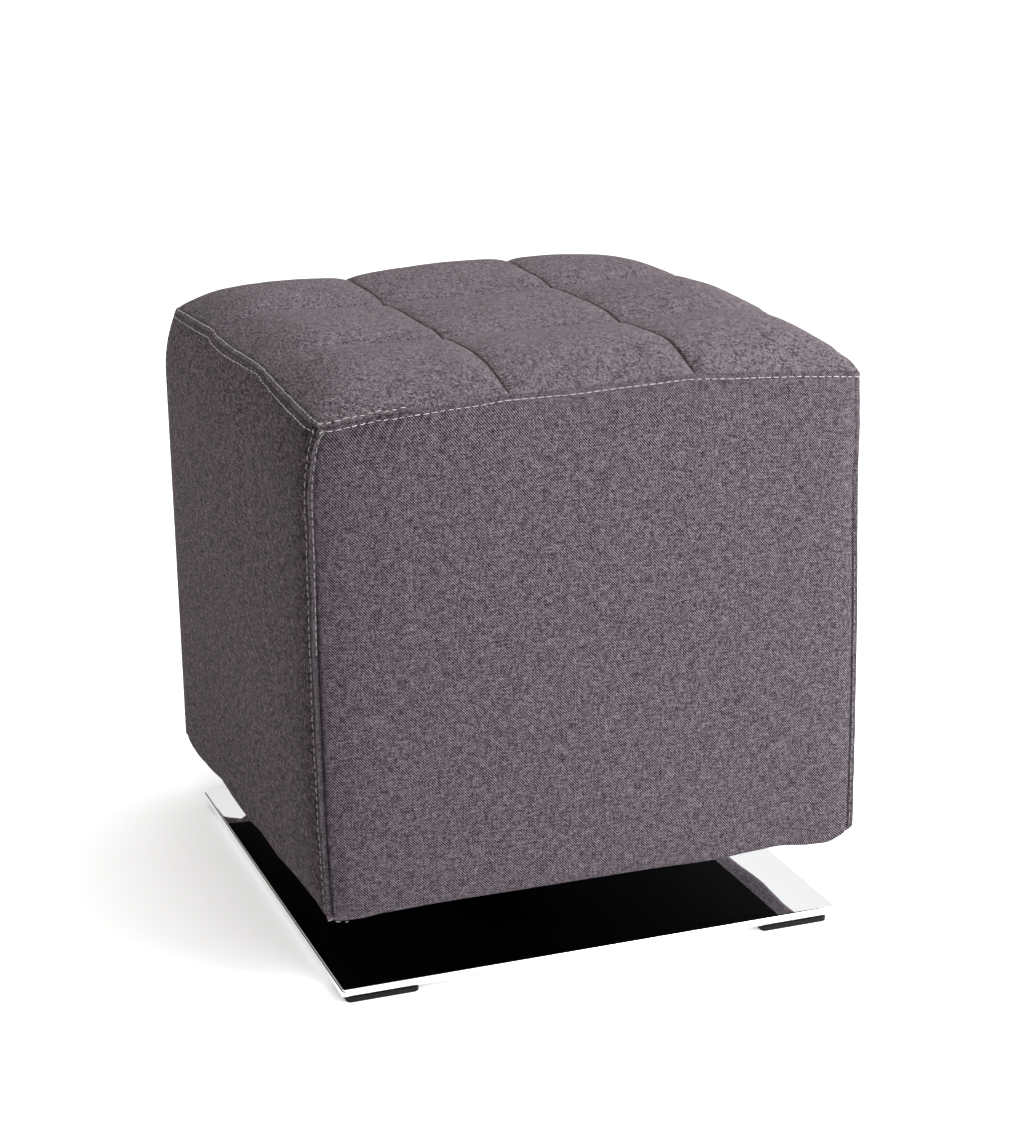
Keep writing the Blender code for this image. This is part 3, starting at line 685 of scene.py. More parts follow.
def melange_cloth(name):
    """Fine twill of dark and light mixed yarns on the cloth's own thread map, made once for each weave."""
    old = bpy.data.materials.get(name)
    if old:
        return old
    speckle, slubs, clouds, twill, cross_twill, tint = WEAVES[name]
    colours = bpy.context.scene.pouf_colours
    material, tree = new_material(name)
    thread_map = shade_node(tree, "ShaderNodeUVMap", (-1800, 0), uv_map="thread_map").outputs["UV"]

    def maths(operation, *values):
        return math_node(tree, operation, *values)

    def pair(x, y):
        return shade_node(tree, "ShaderNodeCombineXYZ", (-1200, 0), X=x, Y=y).outputs[0]

    def noise(place, detail=0.0):
        return shade_node(tree, "ShaderNodeTexNoise", (-1000, 0), noise_dimensions="2D", Vector=place,
                          Scale=1.0, Detail=detail, Roughness=0.6).outputs["Fac"]

    parts = shade_node(tree, "ShaderNodeSeparateXYZ", (-1500, 300), Vector=thread_map).outputs
    drift = noise(pair(maths("MULTIPLY", parts["X"], 30.0), maths("MULTIPLY", parts["Y"], 30.0)), 1.0)
    wander = maths("MULTIPLY_ADD", drift, 2.4, -1.2)
    warp = maths("ADD", maths("MULTIPLY", parts["X"], 1.0 / WARP_PITCH), wander)
    weft = maths("SUBTRACT", maths("MULTIPLY", parts["Y"], 1.0 / WEFT_PITCH), wander)
    warp_yarn, weft_yarn = maths("FLOOR", warp), maths("FLOOR", weft)
    crossing = shade_node(tree, "ShaderNodeTexWhiteNoise", (-1000, 200), noise_dimensions="2D",
                          Vector=pair(warp_yarn, weft_yarn)).outputs["Value"]
    slub_up = noise(pair(maths("MULTIPLY", warp_yarn, 0.83), maths("MULTIPLY", weft, 0.13)))
    slub_across = noise(pair(maths("MULTIPLY", warp, 0.11), maths("MULTIPLY_ADD", weft_yarn, 0.83, 40.0)))
    falling = maths("SINE", maths("MULTIPLY", maths("ADD", warp, weft), math.pi))
    rising = maths("SINE", maths("MULTIPLY", maths("SUBTRACT", warp, weft), math.pi))
    patches = noise(pair(maths("MULTIPLY", parts["X"], 45.0), maths("MULTIPLY", parts["Y"], 26.0)), 2.0)
    tone = maths("MULTIPLY_ADD", crossing, speckle, 0.5 - speckle / 2.0)
    for noisy, strength in ((slub_up, slubs), (slub_across, slubs), (patches, clouds)):
        tone = maths("ADD", tone, maths("MULTIPLY_ADD", noisy, strength, -strength / 2.0))
    tone = maths("ADD", tone, maths("MULTIPLY", falling, twill))
    tone = maths("ADD", tone, maths("MULTIPLY", rising, cross_twill))
    ramp = shade_node(tree, "ShaderNodeValToRGB", (-500, 0), Fac=tone)
    stops = ramp.color_ramp.elements
    # The weave's tint: painted light on the top's copy of the cloth, painted shade on the left side's copy
    dark, middle, light = [[value * share for value, share in zip(yarn, tint)]
                           for yarn in (colours.dark_yarn, colours.middle_yarn, colours.light_yarn)]
    stops[0].color, stops[1].color = (*dark, 1.0), (*light, 1.0)
    stops.new(0.50).color = (*middle, 1.0)
    for place, first, second in ((0.25, dark, middle), (0.75, middle, light)):
        between = [((a ** 0.5 + b ** 0.5) / 2.0) ** 2 for a, b in zip(first, second)]
        stops.new(place).color = (*between, 1.0)
    # Painted shade: the seam_shade attribute darkens the cloth towards SEAM_SHADE in its seams, creases,
    # channels and wrinkle hollows, and towards the front left corner
    darkened = shade_node(tree, "ShaderNodeAttribute", (-500, -300), attribute_name="seam_shade").outputs["Fac"]
    shaded = shade_node(tree, "ShaderNodeMix", (-250, 0), data_type="RGBA", blend_type="MULTIPLY",
                        i0=darkened, i6=ramp.outputs["Color"], i7=(*SEAM_SHADE, 1.0)).outputs[2]
    weave = maths("ADD", maths("MULTIPLY", falling, 0.35), maths("MULTIPLY", crossing, 0.6))
    return finished(material, Base_Color=shaded, Normal=relief_of(tree, weave, 0.6, 0.3 * MM), Roughness=0.92,
                    Specular_IOR_Level=0.08, Sheen_Weight=0.02, Sheen_Roughness=0.5)


def sewing_thread(name, colour, roughness):
    """Twisted thread, lighter and darker along its twist."""
    material, tree = new_material(name)
    twist = grain_of(tree, 1400.0, 1.0)
    dark, light = [0.55 * value for value in colour], [min(1.0, 1.25 * value) for value in colour]
    return finished(material, Base_Color=two_tones(tree, twist, dark, light, 0.30, 0.70),
                    Normal=relief_of(tree, twist, 0.5, 0.15 * MM), Roughness=roughness)


def needle_hole():
    """The shadow in the hole that each stitch pulls in the cloth."""
    material, tree = new_material("needle_hole")
    shadow = two_tones(tree, grain_of(tree, 900.0), (0.0020, 0.0014, 0.0017), (0.0070, 0.0050, 0.0060))
    return finished(material, Base_Color=shadow, Roughness=1.0, Specular_IOR_Level=0.0)


def mirror_chrome():
    """Polished chrome with faint wipe marks and specks of dust."""
    material, tree = new_material("mirror_chrome")
    place = shade_node(tree, "ShaderNodeTexCoord", (-1000, 0)).outputs["Object"]
    wiped = shade_node(tree, "ShaderNodeMapping", (-800, 0), Vector=place, Rotation=(0.0, 0.0, 0.5),
                       Scale=(9.0, 60.0, 9.0)).outputs["Vector"]
    wipes = shade_node(tree, "ShaderNodeTexNoise", (-600, 0), Vector=wiped, Scale=1.0,
                       Detail=3.0).outputs["Fac"]
    polish = mapped(tree, wipes, 0.35, 0.75, 0.015, 0.05)
    dust = shade_node(tree, "ShaderNodeTexVoronoi", (-600, -300), Vector=place,
                      Scale=95.0).outputs["Distance"]
    specks = mapped(tree, dust, 0.018, 0.030, 1.0, 0.0)
    return finished(material, Base_Color=(*bpy.context.scene.pouf_colours.chrome, 1.0), Roughness=polish,
                    Metallic=mapped(tree, specks, 0.0, 1.0, 1.0, 0.75))


def grained(name, dark, light, scale, roughness, relief=0.2, gloss=0.15):
    """Plain black finishes: covered board, painted steel and moulded plastic, each with its own grain."""
    material, tree = new_material(name)
    grain = grain_of(tree, scale, 3.0)
    return finished(material, Base_Color=two_tones(tree, grain, dark, light, 0.35, 0.70),
                    Normal=relief_of(tree, grain, relief, 0.2 * MM), Roughness=roughness,
                    Specular_IOR_Level=gloss)


# ---------------------------------------------------------------- the padded cube

class POUF_OT_quilted_top(bpy.types.Operator):
    """Sew the quilted top: crowned cloth with two stitched and two pulled channels"""
    bl_idname = "pouf.quilted_top"
    bl_label = "Quilted Top"

    def execute(self, context):
        shape = CubeShape()
        cell, width = shape.sizes.cell, shape.width
        x = cloth_lines(width, [line * width for line in SEWN_LINES], cell)
        y = cloth_lines(width, [line * width for line in PULLED_LINES], cell)
        across, along = np.meshgrid(x / width, y / width, indexing="ij")
        cloth = shape.top_cloth(across, along)
        columns, rows = across.shape
        grid = np.arange(columns * rows).reshape(columns, rows)
        quads = np.stack((grid[:-1, :-1], grid[1:, :-1], grid[1:, 1:], grid[:-1, 1:]), axis=-1)
        faces = quads.reshape(-1, 4).tolist()
        rim = np.concatenate((grid[:-1, 0], grid[-1, :-1], grid[:0:-1, -1], grid[0, :0:-1]))
        around = (("front", x[:-1] / width), ("right", y[:-1] / width),
                  ("back", 1.0 - x[:0:-1] / width), ("left", 1.0 - y[:0:-1] / width))
        under = np.concatenate([shape.inner_line(side, fraction, shape.height - shape.sizes.wall)
                                for side, fraction in around])
        first = columns * rows
        count = len(rim)
        for step in range(count):
            after = (step + 1) % count
            faces.append([int(rim[step]), first + step, first + after, int(rim[after])])
        faces.append(list(range(first, first + count)))
        points = shape.placed(np.concatenate((cloth.reshape(-1, 3), under))) + np.array((0.0, 0.0, CLEARANCE))
        uv = np.concatenate((np.stack((across * width, along * width), -1).reshape(-1, 2), under[:, :2]))
        from_side = np.minimum(across, 1.0 - across) * width
        from_end = np.minimum(along, 1.0 - along) * width
        from_seam = np.minimum(from_side, from_end)
        sewn = to_lines(across, SEWN_LINES, width).min(0)
        pulled = to_lines(along, PULLED_LINES, width).min(0)
        offset = shape.seams.row_offset + 1.4 * MM
        seen = shape.seen_seam(across, along, from_side, from_end)
        # Painted shade in the top's cloth: in the crease beside the border rows and the seam's groove where
        # the seam lies open, in the sewn channels and, more faintly, in the pulled hollows
        shade = (0.45 * bump(from_seam, offset, 0.7 * MM) + 0.4 * bump(from_seam, 0.0, 0.8 * MM)) * seen
        ends = rolled(from_end - 4.0 * MM, 3.0 * MM, 1.0)
        inner = rolled(from_side - FOLD_START, FOLD_OVER, 1.0)
        shade = np.maximum(shade, bump(sewn, 0.0, 1.0 * MM) * ends)
        shade = np.maximum(shade, 0.25 * bump(pulled, 0.0, 1.2 * MM) * inner)
        shade = np.concatenate((shade.ravel(), np.zeros(count)))
        piece = cloth_object("quilted_top", points, faces, uv, shade, melange_cloth("melange_weave_top"))
        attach(piece, "root")
        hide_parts("seat_top")
        return {"FINISHED"}


# What each side keeps back from its neighbours at the upright seams, and how far the weave of one side is
# shifted against that of the side before it
END_GAP = 0.12 * MM
WEAVE_SHIFT = (0.61, 0.37)

# Painted shade on the sides' cloth: the upright seams are darkest below a level, and the cloth beside the
# front left seam darkens softly on the front and on the left
SHADED_BELOW = 290.0 * MM
CORNER_SHADE_FRONT, CORNER_SHADE_LEFT = 0.35, 0.62


class POUF_OT_padded_sides(bpy.types.Operator):
    """Sew the four padded sides, each with its turned-under hem"""
    bl_idname = "pouf.padded_sides"
    bl_label = "Padded Sides"

    def execute(self, context):
        shape = CubeShape()
        for side in SIDES:
            self.sew(shape, side)
        return {"FINISHED"}

    @staticmethod
    def sew(shape, side):
        """One side: its face, its hem turned in below and the inner face of its padding, with end caps."""
        width, height = shape.width, shape.height
        fraction = cloth_lines(width, (), shape.sizes.cell) / width
        level = np.sort(height - cloth_lines(height - HEM_TOP, (), shape.sizes.cell))
        outward = np.array(SIDES[side][2])
        foot = shape.side_cloth(side, fraction, HEM_TOP)
        out = ((foot - shape.between_seams(side, fraction, HEM_TOP)) @ outward)[:, None] * outward
        wave = eased_table(HEM_WAVE[side], fraction) * MM
        loop = []
        for inset, rise, wave_share in HEM_FOLD:
            share = 1.0 - min(inset / HEM_SWELL_REACH, 1.0)
            ring = shape.between_seams(side, fraction, rise, inset) + out * share
            ring[:, 2] += wave * wave_share
            loop.append(ring)
        face = shape.side_cloth(side, fraction[:, None], level[None, :])
        inner = shape.inner_line(side, fraction, height - shape.sizes.wall)[:, None]
        loop = np.concatenate((np.stack(loop, axis=1), face, inner), axis=1)
        loop = loop + side_along(side) * (END_GAP * (1.0 - 2.0 * fraction))[:, None, None]
        columns, around, _ = loop.shape
        faces = stack_faces(columns, around)
        faces += [list(range(around))[::-1], list(range((columns - 1) * around, columns * around))]
        travelled = np.linalg.norm(np.diff(loop[columns // 2], axis=0), axis=1)
        run = np.concatenate(((0.0,), np.cumsum(travelled)))
        uv = np.stack(np.broadcast_arrays((fraction * width)[:, None], run[None, :]), -1).reshape(-1, 2)
        uv = uv + np.array(WEAVE_SHIFT) * (1 + list(SIDES).index(side))
        from_edge = np.minimum(fraction, 1.0 - fraction)[:, None] * width
        from_top = (height - level)[None, :]
        offset = shape.seams.row_offset + 1.5 * MM
        shade = np.zeros((columns, around))
        # Painted shade: along the upright seams and the creases beside their rows, darker below a level, and
        # in the border seam where it lies open
        lower = 0.6 + 0.4 * np.clip((SHADED_BELOW - level) / (90.0 * MM), 0.0, 1.0)[None, :]
        seam = lower * bump(from_edge, offset, 0.8 * MM) + 0.4 * bump(from_edge, 0.0, 0.8 * MM)
        border = 0.4 * bump(from_top, 0.0, 0.8 * MM) * shape.open_seam(side, fraction * width)[:, None]
        if side == "front":
            run = (fraction * width)[:, None]
            seam *= np.where((run > width / 2.0) & (level > SHADED_BELOW)[None, :], 0.0, 1.0)
            # Painted shade on a narrow strip low down beside the front left seam, where the cloth turns
            # towards the left
            turned = np.clip((10.0 * MM - run) / (2.0 * MM), 0.0, 1.0)
            turned = turned * bump(level, 100.0 * MM, 70.0 * MM)[None, :]
            # Painted shade of the small creases under the border seam where the quilted channels end
            ticks = sum(bump(run, (line + 0.006) * width, 0.8 * MM) for line in SEWN_LINES)
            ticks = ticks * 0.6 * bump(from_top, 7.0 * MM, 3.0 * MM)
            seam = np.maximum(np.maximum(seam, 0.35 * turned), ticks)
            # Painted shade that grows towards the front left corner
            seam = np.maximum(seam, CORNER_SHADE_FRONT * np.exp(-run / (70.0 * MM)))
            # Painted shade in the hollows of the slanting wrinkles under the border seam near the front left
            # corner
            hollows = np.clip(-under_wrinkles(run, from_top) - 0.1, 0.0, 1.0)
            seam = np.maximum(seam, 1.2 * hollows * wrinkled(run, from_top, 24.0 * MM))
        if side == "left":
            # Painted shade that grows towards the front end of the left side
            from_front = ((1.0 - fraction) * width)[:, None]
            seam = np.maximum(seam, CORNER_SHADE_LEFT * np.exp(-from_front / (50.0 * MM)))
        shade[:, len(HEM_FOLD):len(HEM_FOLD) + len(level)] = np.maximum(seam, border)
        points = shape.placed(loop.reshape(-1, 3))
        # The left side gets the slubbier copy of the cloth, darker and warmer as painted shade
        cloth = melange_cloth("melange_weave_slubby_shaded" if side == "left" else "melange_weave")
        piece = cloth_object("side_" + side, points, faces, uv, shade.ravel(), cloth)
        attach(piece, "root")
        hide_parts("panel_" + side)


# ---------------------------------------------------------------- stitching

# Part of a side's width over which a row reads the cloth's normal
NORMAL_STEP = 1.5e-3

# Points along a row: an upright one, a whole border row, the sunk front one, a quilted one
UPRIGHT_POINTS, BORDER_POINTS, SUNK_POINTS, QUILT_POINTS = 240, 280, 60, 330

# Upright rows: their foot over the underside and their head below the top, then on the front the head of the
# deep row, the foot of the one above it, and the head of the short one on the right
ROW_FOOT, ROW_HEAD = 9.0 * MM, 3.5 * MM
DEEP_HEAD, UPPER_FOOT, SHORT_HEAD = 198.0 * MM, 203.0 * MM, 223.0 * MM

# Fractions where the sunk front row ends, and where the quilted rows start
SUNK_END, QUILT_START = 0.150, 0.014


def stitch_tree(name, holes):
    """Repeats one stitch, or the two holes at its ends, along every row, turned to the cloth it lies on."""
    tree = bpy.data.node_groups.new(name, "GeometryNodeTree")
    for label, kind in (("Rows", "Geometry"), ("Pitch", "Float"), ("Stitch Length", "Float"),
                        ("Thread Width", "Float"), ("Lift", "Float"), ("Unevenness", "Float"),
                        ("Seed", "Int"), ("Finish", "Material")):
        tree.interface.new_socket(label, in_out="INPUT", socket_type="NodeSocket" + kind)
    tree.interface.new_socket("Stitches", in_out="OUTPUT", socket_type="NodeSocketGeometry")
    given = shade_node(tree, "NodeGroupInput", (-1400, 0)).outputs

    def maths(operation, *values):
        return math_node(tree, operation, *values)

    def vector(x=0.0, y=0.0, z=0.0):
        return shade_node(tree, "ShaderNodeCombineXYZ", (-800, -300), X=x, Y=y, Z=z).outputs[0]

    half = maths("MULTIPLY", given["Stitch Length"], 0.5)
    back = maths("MULTIPLY", half, -1.0)
    if holes:
        disc = shade_node(tree, "GeometryNodeMeshCircle", (-700, -500), fill_type="NGON", Vertices=7,
                          Radius=maths("MULTIPLY", given["Thread Width"], 0.62)).outputs["Mesh"]
        joined = shade_node(tree, "GeometryNodeJoinGeometry", (-300, -500))
        for place in (half, back):
            end = shade_node(tree, "GeometryNodeTransform", (-500, -500), Geometry=disc,
                             Translation=vector(x=place, z=given["Lift"])).outputs[0]
            tree.links.new(end, joined.inputs[0])
        stitch = joined.outputs[0]
    else:
        dip = maths("MULTIPLY", given["Thread Width"], -0.45)
        arch = shade_node(tree, "GeometryNodeCurveQuadraticBezier", (-700, -500), Resolution=6,
                          Start=vector(x=back, z=dip), End=vector(x=half, z=dip),
                          Middle=vector(z=maths("MULTIPLY", given["Thread Width"], 0.95)))
        profile = shade_node(tree, "GeometryNodeCurvePrimitiveCircle", (-700, -700), Resolution=7,
                             Radius=maths("MULTIPLY", given["Thread Width"], 0.5))
        tube = shade_node(tree, "GeometryNodeCurveToMesh", (-450, -500), Curve=arch.outputs[0],
                          Profile_Curve=profile.outputs[0], Fill_Caps=True).outputs[0]
        stitch = shade_node(tree, "GeometryNodeTransform", (-300, -500), Geometry=tube,
                            Translation=vector(z=given["Lift"])).outputs[0]
    path = shade_node(tree, "GeometryNodeMeshToCurve", (-900, 200), Mesh=given["Rows"]).outputs[0]
    spaced = shade_node(tree, "GeometryNodeResampleCurve", (-700, 200), Curve=path, mode="LENGTH",
                        Length=given["Pitch"]).outputs[0]
    normal = shade_node(tree, "GeometryNodeInputNamedAttribute", (-900, 0), data_type="FLOAT_VECTOR",
                        Name="cloth_normal").outputs["Attribute"]
    tangent = shade_node(tree, "GeometryNodeInputTangent", (-900, -120)).outputs[0]
    turned = shade_node(tree, "FunctionNodeAxesToRotation", (-650, 0), primary_axis="Z", secondary_axis="X",
                        Primary_Axis=normal, Secondary_Axis=tangent).outputs[0]
    least = maths("SUBTRACT", 1.0, given["Unevenness"])
    low = vector(least, least, 0.9)
    high = vector(maths("ADD", 1.0, maths("MULTIPLY", given["Unevenness"], 0.4)), 1.1, 1.15)
    sized = shade_node(tree, "FunctionNodeRandomValue", (-650, -150), data_type="FLOAT_VECTOR",
                       i0=low, i1=high, Seed=given["Seed"]).outputs[0]
    spread = shade_node(tree, "GeometryNodeInstanceOnPoints", (-350, 100), Points=spaced, Instance=stitch,
                        Rotation=turned, Scale=sized).outputs[0]
    real = shade_node(tree, "GeometryNodeRealizeInstances", (-150, 100), Geometry=spread).outputs[0]
    smooth = shade_node(tree, "GeometryNodeSetShadeSmooth", (0, 100), Geometry=real).outputs[0]
    coloured = shade_node(tree, "GeometryNodeSetMaterial", (150, 100), Geometry=smooth,
                          Material=given["Finish"]).outputs[0]
    out = shade_node(tree, "NodeGroupOutput", (300, 100))
    tree.links.new(coloured, out.inputs[0])
    return tree


def sewn_rows(name, rows, tree, values):
    """Run a stitch tree along rows of (points, normals) and keep the result as one plain mesh."""
    mesh = bpy.data.meshes.new(name)
    points = np.concatenate([row[0] for row in rows])
    normals = np.concatenate([row[1] for row in rows])
    edges, start = [], 0
    for row, _ in rows:
        edges += [(start + k, start + k + 1) for k in range(len(row) - 1)]
        start += len(row)
    mesh.from_pydata(points.tolist(), edges, [])
    mesh.attributes.new("cloth_normal", "FLOAT_VECTOR", "POINT").data.foreach_set("vector", normals.ravel())
    guide = scene_object(name + "_rows", mesh)
    modifier = guide.modifiers.new("stitches", "NODES")
    modifier.node_group = tree
    for socket in tree.interface.items_tree:
        if socket.in_out == "INPUT" and socket.name in values:
            modifier[socket.identifier] = values[socket.name]
    evaluated = guide.evaluated_get(bpy.context.evaluated_depsgraph_get())
    stitches = bpy.data.meshes.new_from_object(evaluated)
    guide.modifiers.remove(modifier)
    bpy.data.objects.remove(guide)
    if not stitches.polygons:
        raise RuntimeError(name + " came out empty")
    stitches.name = name
    return scene_object(name, stitches)


def row_on(surface, first, second):
    """A stitch row on a surface given by two fractions: its points and the cloth's normals there."""
    points = surface(first, second)
    by_first = surface(first + NORMAL_STEP, second) - surface(first - NORMAL_STEP, second)
    by_second = surface(first, second + NORMAL_STEP) - surface(first, second - NORMAL_STEP)
    normals = np.cross(by_first, by_second)
    normals /= np.linalg.norm(normals, axis=1, keepdims=True)
    return points, normals


def side_rows(shape):
    """The border rows of the sides, their upright rows, and the front row that lies deep in its crease."""
    offset = shape.seams.row_offset
    inset = offset / shape.width
    border, upright, deep = [], [], []
    for side in SIDES:
        def surface(fraction, share, side=side):
            return shape.placed(shape.side_cloth(side, fraction, share * shape.height, groove=False))

        def upright_row(fraction, low, high):
            level = np.linspace(low, high, UPRIGHT_POINTS) / shape.height
            return row_on(surface, np.full_like(level, fraction), level)

        top = shape.height - ROW_HEAD
        if side == "front":
            deep.append(upright_row(inset, ROW_FOOT, DEEP_HEAD))
            upright += [upright_row(inset, UPPER_FOOT, top), upright_row(1.0 - inset, ROW_FOOT, SHORT_HEAD)]
        else:
            upright += [upright_row(fraction, ROW_FOOT, top) for fraction in (inset, 1.0 - inset)]
        level = np.linspace(inset * 1.1, 1.0 - inset * 1.1, BORDER_POINTS)
        border.append(row_on(surface, level, np.full_like(level, 1.0 - offset / shape.height)))
    return border, upright, deep


def top_rows(shape):
    """The rows on the top's side of the border seam. The front one soon sinks into its crease."""
    inset = shape.seams.row_offset / shape.width
    whole = np.linspace(inset * 1.1, 1.0 - inset * 1.1, BORDER_POINTS)
    sunk = np.linspace(inset * 1.1, SUNK_END, SUNK_POINTS)
    ends = [row_on(shape.placed_top, run, np.full_like(run, place))
            for run, place in ((sunk, inset), (whole, 1.0 - inset))]
    return ends + [row_on(shape.placed_top, np.full_like(whole, place), whole)
                   for place in (inset, 1.0 - inset)]


def quilt_rows(shape):
    """The stitching at the bottom of the channels."""
    sewn = np.linspace(QUILT_START, 1.0 - QUILT_START, QUILT_POINTS)
    return [row_on(shape.placed_top, np.full_like(sewn, line), sewn) for line in SEWN_LINES]


class POUF_OT_top_stitching(bpy.types.Operator):
    """Sew the light, dull and dark rows of thread beside the seams, with their needle holes"""
    bl_idname = "pouf.top_stitching"
    bl_label = "Top-stitching"

    def execute(self, context):
        shape = CubeShape()
        seams, colours = shape.seams, context.scene.pouf_colours
        thread = sewing_thread("top_thread", colours.top_thread, 0.6)
        dull = sewing_thread("upright_thread", colours.dull_thread, 0.8)
        dark = sewing_thread("quilt_thread", colours.quilt_thread, 0.7)
        hole = needle_hole()
        stitches, holes = stitch_tree("stitches", False), stitch_tree("needle_holes", True)
        sizes = {"Pitch": seams.pitch, "Stitch Length": seams.dash, "Thread Width": seams.thread,
                 "Lift": 0.30 * MM, "Unevenness": 0.22, "Seed": 7}
        border, upright, deep = side_rows(shape)
        # The deep row is sewn in the dark quilting thread: painted shade of the crease that it lies deep in
        for name, rows, slot, finish in (("side_stitching", border, "melange_cloth_side", thread),
                                         ("upright_stitching", upright, "melange_cloth_side", dull),
                                         ("deep_stitching", deep, "melange_cloth_side", dark),
                                         ("border_stitching", top_rows(shape), "melange_cloth", thread)):
            piece = sewn_rows(name, rows, stitches, {**sizes, "Finish": finish})
            pierced = sewn_rows(name + "_holes", rows, holes, {**sizes, "Lift": 0.12 * MM, "Finish": hole})
            for made in (piece, pierced):
                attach(made, "root")
        return {"FINISHED"}


# The loose thread at the top corner, then three cut ends at the hem's corner. Each by three places:
# (distance from the left seam, level over the underside, height off the cloth), all in mm
THREAD_ENDS = (((6.6, 357.6, 0.3), (5.2, 355.4, 1.0), (3.8, 352.8, 0.4)),
               ((4.4, 1.4, 0.2), (2.6, 0.9, 0.9), (0.6, 1.2, 1.6)),
               ((9.6, 0.4, 0.3), (8.0, -0.2, 0.9), (6.4, 0.6, 0.4)),
               ((15.2, -0.2, 0.3), (14.2, -0.8, 0.8), (13.4, -0.4, 0.3)))


class POUF_OT_loose_threads(bpy.types.Operator):
    """Leave the loose thread at the top corner and the cut ends at the hem's corner"""
    bl_idname = "pouf.loose_threads"
    bl_label = "Loose Threads"

    def execute(self, context):
        shape = CubeShape()
        angle = np.linspace(0.0, 2.0 * math.pi, 7, endpoint=False)
        step = np.linspace(0.0, 1.0, 9)[:, None]
        for number, marks in enumerate(THREAD_ENDS, 1):
            first, middle, last = [np.array(mark) * MM for mark in marks]
            path = first * (1 - step) ** 2 + middle * (2 * step * (1 - step)) + last * step ** 2
            centre = shape.placed(shape.side_cloth("front", path[:, 0] / shape.width, path[:, 1]))
            centre[:, 1] -= path[:, 2] + 0.25 * MM
            along = np.gradient(centre, axis=0)
            along /= np.linalg.norm(along, axis=1, keepdims=True)
            across = np.cross(along, np.array(SIDES["front"][2]))
            across /= np.linalg.norm(across, axis=1, keepdims=True)
            over = np.cross(across, along)
            radius = 0.42 * shape.seams.thread
            rings = [heart + radius * (np.cos(angle)[:, None] * side + np.sin(angle)[:, None] * up)
                     for heart, side, up in zip(centre, across, over)]
            piece = outline_solid("thread_end_%d" % number, rings, bpy.data.materials["upright_thread"])
            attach(piece, "root")
        return {"FINISHED"}


class POUF_OT_quilt_stitching(bpy.types.Operator):
    """Sew the dark thread at the bottom of the quilted channels"""
    bl_idname = "pouf.quilt_stitching"
    bl_label = "Quilt Stitching"

    def execute(self, context):
        shape = CubeShape()
        seams = shape.seams
        sizes = {"Pitch": seams.pitch * 0.8, "Stitch Length": seams.dash * 0.78,
                 "Thread Width": 1.5 * seams.thread, "Lift": 0.45 * MM, "Unevenness": 0.2, "Seed": 3,
                 "Finish": bpy.data.materials["quilt_thread"]}
        piece = sewn_rows("quilt_stitching", quilt_rows(shape), bpy.data.node_groups["stitches"], sizes)
        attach(piece, "root")
        return {"FINISHED"}


# ---------------------------------------------------------------- plate, column, pads and underside

# Edge rounds of the plate in mm: (inset, height over its underside), (inset, depth under its face)
PLATE_BELOW = ((0.9, 0.0), (0.35, 0.12), (0.08, 0.4), (0.0, 0.8))
PLATE_ABOVE = ((0.0, 2.0), (0.12, 1.35), (0.45, 0.75), (0.95, 0.32), (1.55, 0.08), (2.2, 0.0))
PLATE_CORNER = 3.0 * MM

# Column: radius of the post, thickness of a flange, its edge round and the weld beside the post
POST, FLANGE, FLANGE_EDGE, WELD = 26.0 * MM, 4.0 * MM, 0.6 * MM, 2.2 * MM

# Pads: corner radius in mm, and how much longer than its solid each one shows towards the front or the back
PAD_CORNER, PAD_REACH = 4.0, 3.0 * MM
CORNER_STEPS = 7


def rounded_square(centre, half_x, half_y, radius, height):
    """Outline of a rectangle with round corners at a height, counter-clockwise."""
    points = []
    for quarter, (sign_x, sign_y) in enumerate(((1, 1), (-1, 1), (-1, -1), (1, -1))):
        for step in range(CORNER_STEPS + 1):
            angle = math.radians(90.0 * (quarter + step / CORNER_STEPS))
            points.append((centre[0] + sign_x * (half_x - radius) + radius * math.cos(angle),
                           centre[1] + sign_y * (half_y - radius) + radius * math.sin(angle), height))
    return np.array(points)


class POUF_OT_chromed_plate(bpy.types.Operator):
    """Make the mirror-chromed floor plate with its small polished edge rounds"""
    bl_idname = "pouf.chromed_plate"
    bl_label = "Chromed Plate"

    def execute(self, context):
        low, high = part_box("base_plate")
        centre = (low + high) / 2.0
        half, thick = (high.x - low.x) / 2.0, high.z - low.z
        levels = [(inset * MM, rise * MM) for inset, rise in PLATE_BELOW]
        levels += [(inset * MM, thick - drop * MM) for inset, drop in PLATE_ABOVE]
        rings = [rounded_square(centre, half - inset, half - inset, PLATE_CORNER - inset, low.z + rise)
                 for inset, rise in levels]
        piece = outline_solid("chromed_plate", rings, mirror_chrome(), sharp=60.0)
        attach(piece, "root")
        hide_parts("base_plate")
        return {"FINISHED"}


class POUF_OT_column(bpy.types.Operator):
    """Turn the black steel post between its two flanges"""
    bl_idname = "pouf.column"
    bl_label = "Column"

    def execute(self, context):
        low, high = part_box("column")
        centre = (low + high) / 2.0
        flange, face = (high.x - low.x) / 2.0, low.z + FLANGE
        half = [(flange - FLANGE_EDGE, low.z), (flange, low.z + FLANGE_EDGE), (flange, face - FLANGE_EDGE),
                (flange - FLANGE_EDGE, face), (POST + WELD, face),
                (POST + 0.35 * WELD, face + 0.35 * WELD), (POST, face + WELD)]
        turned = half + [(radius, high.z - (rise - low.z)) for radius, rise in reversed(half)]
        angle = np.linspace(0.0, 2.0 * math.pi, 96, endpoint=False)
        rings = [np.stack((centre.x + radius * np.cos(angle), centre.y + radius * np.sin(angle),
                           np.full_like(angle, rise)), axis=-1) for radius, rise in turned]
        steel = grained("satin_black_steel", (0.0005, 0.0005, 0.0006), (0.0015, 0.0015, 0.0017),
                        700.0, 0.9, gloss=0.02)
        piece = outline_solid("steel_column", rings, steel)
        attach(piece, "root")
        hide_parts("column")
        return {"FINISHED"}


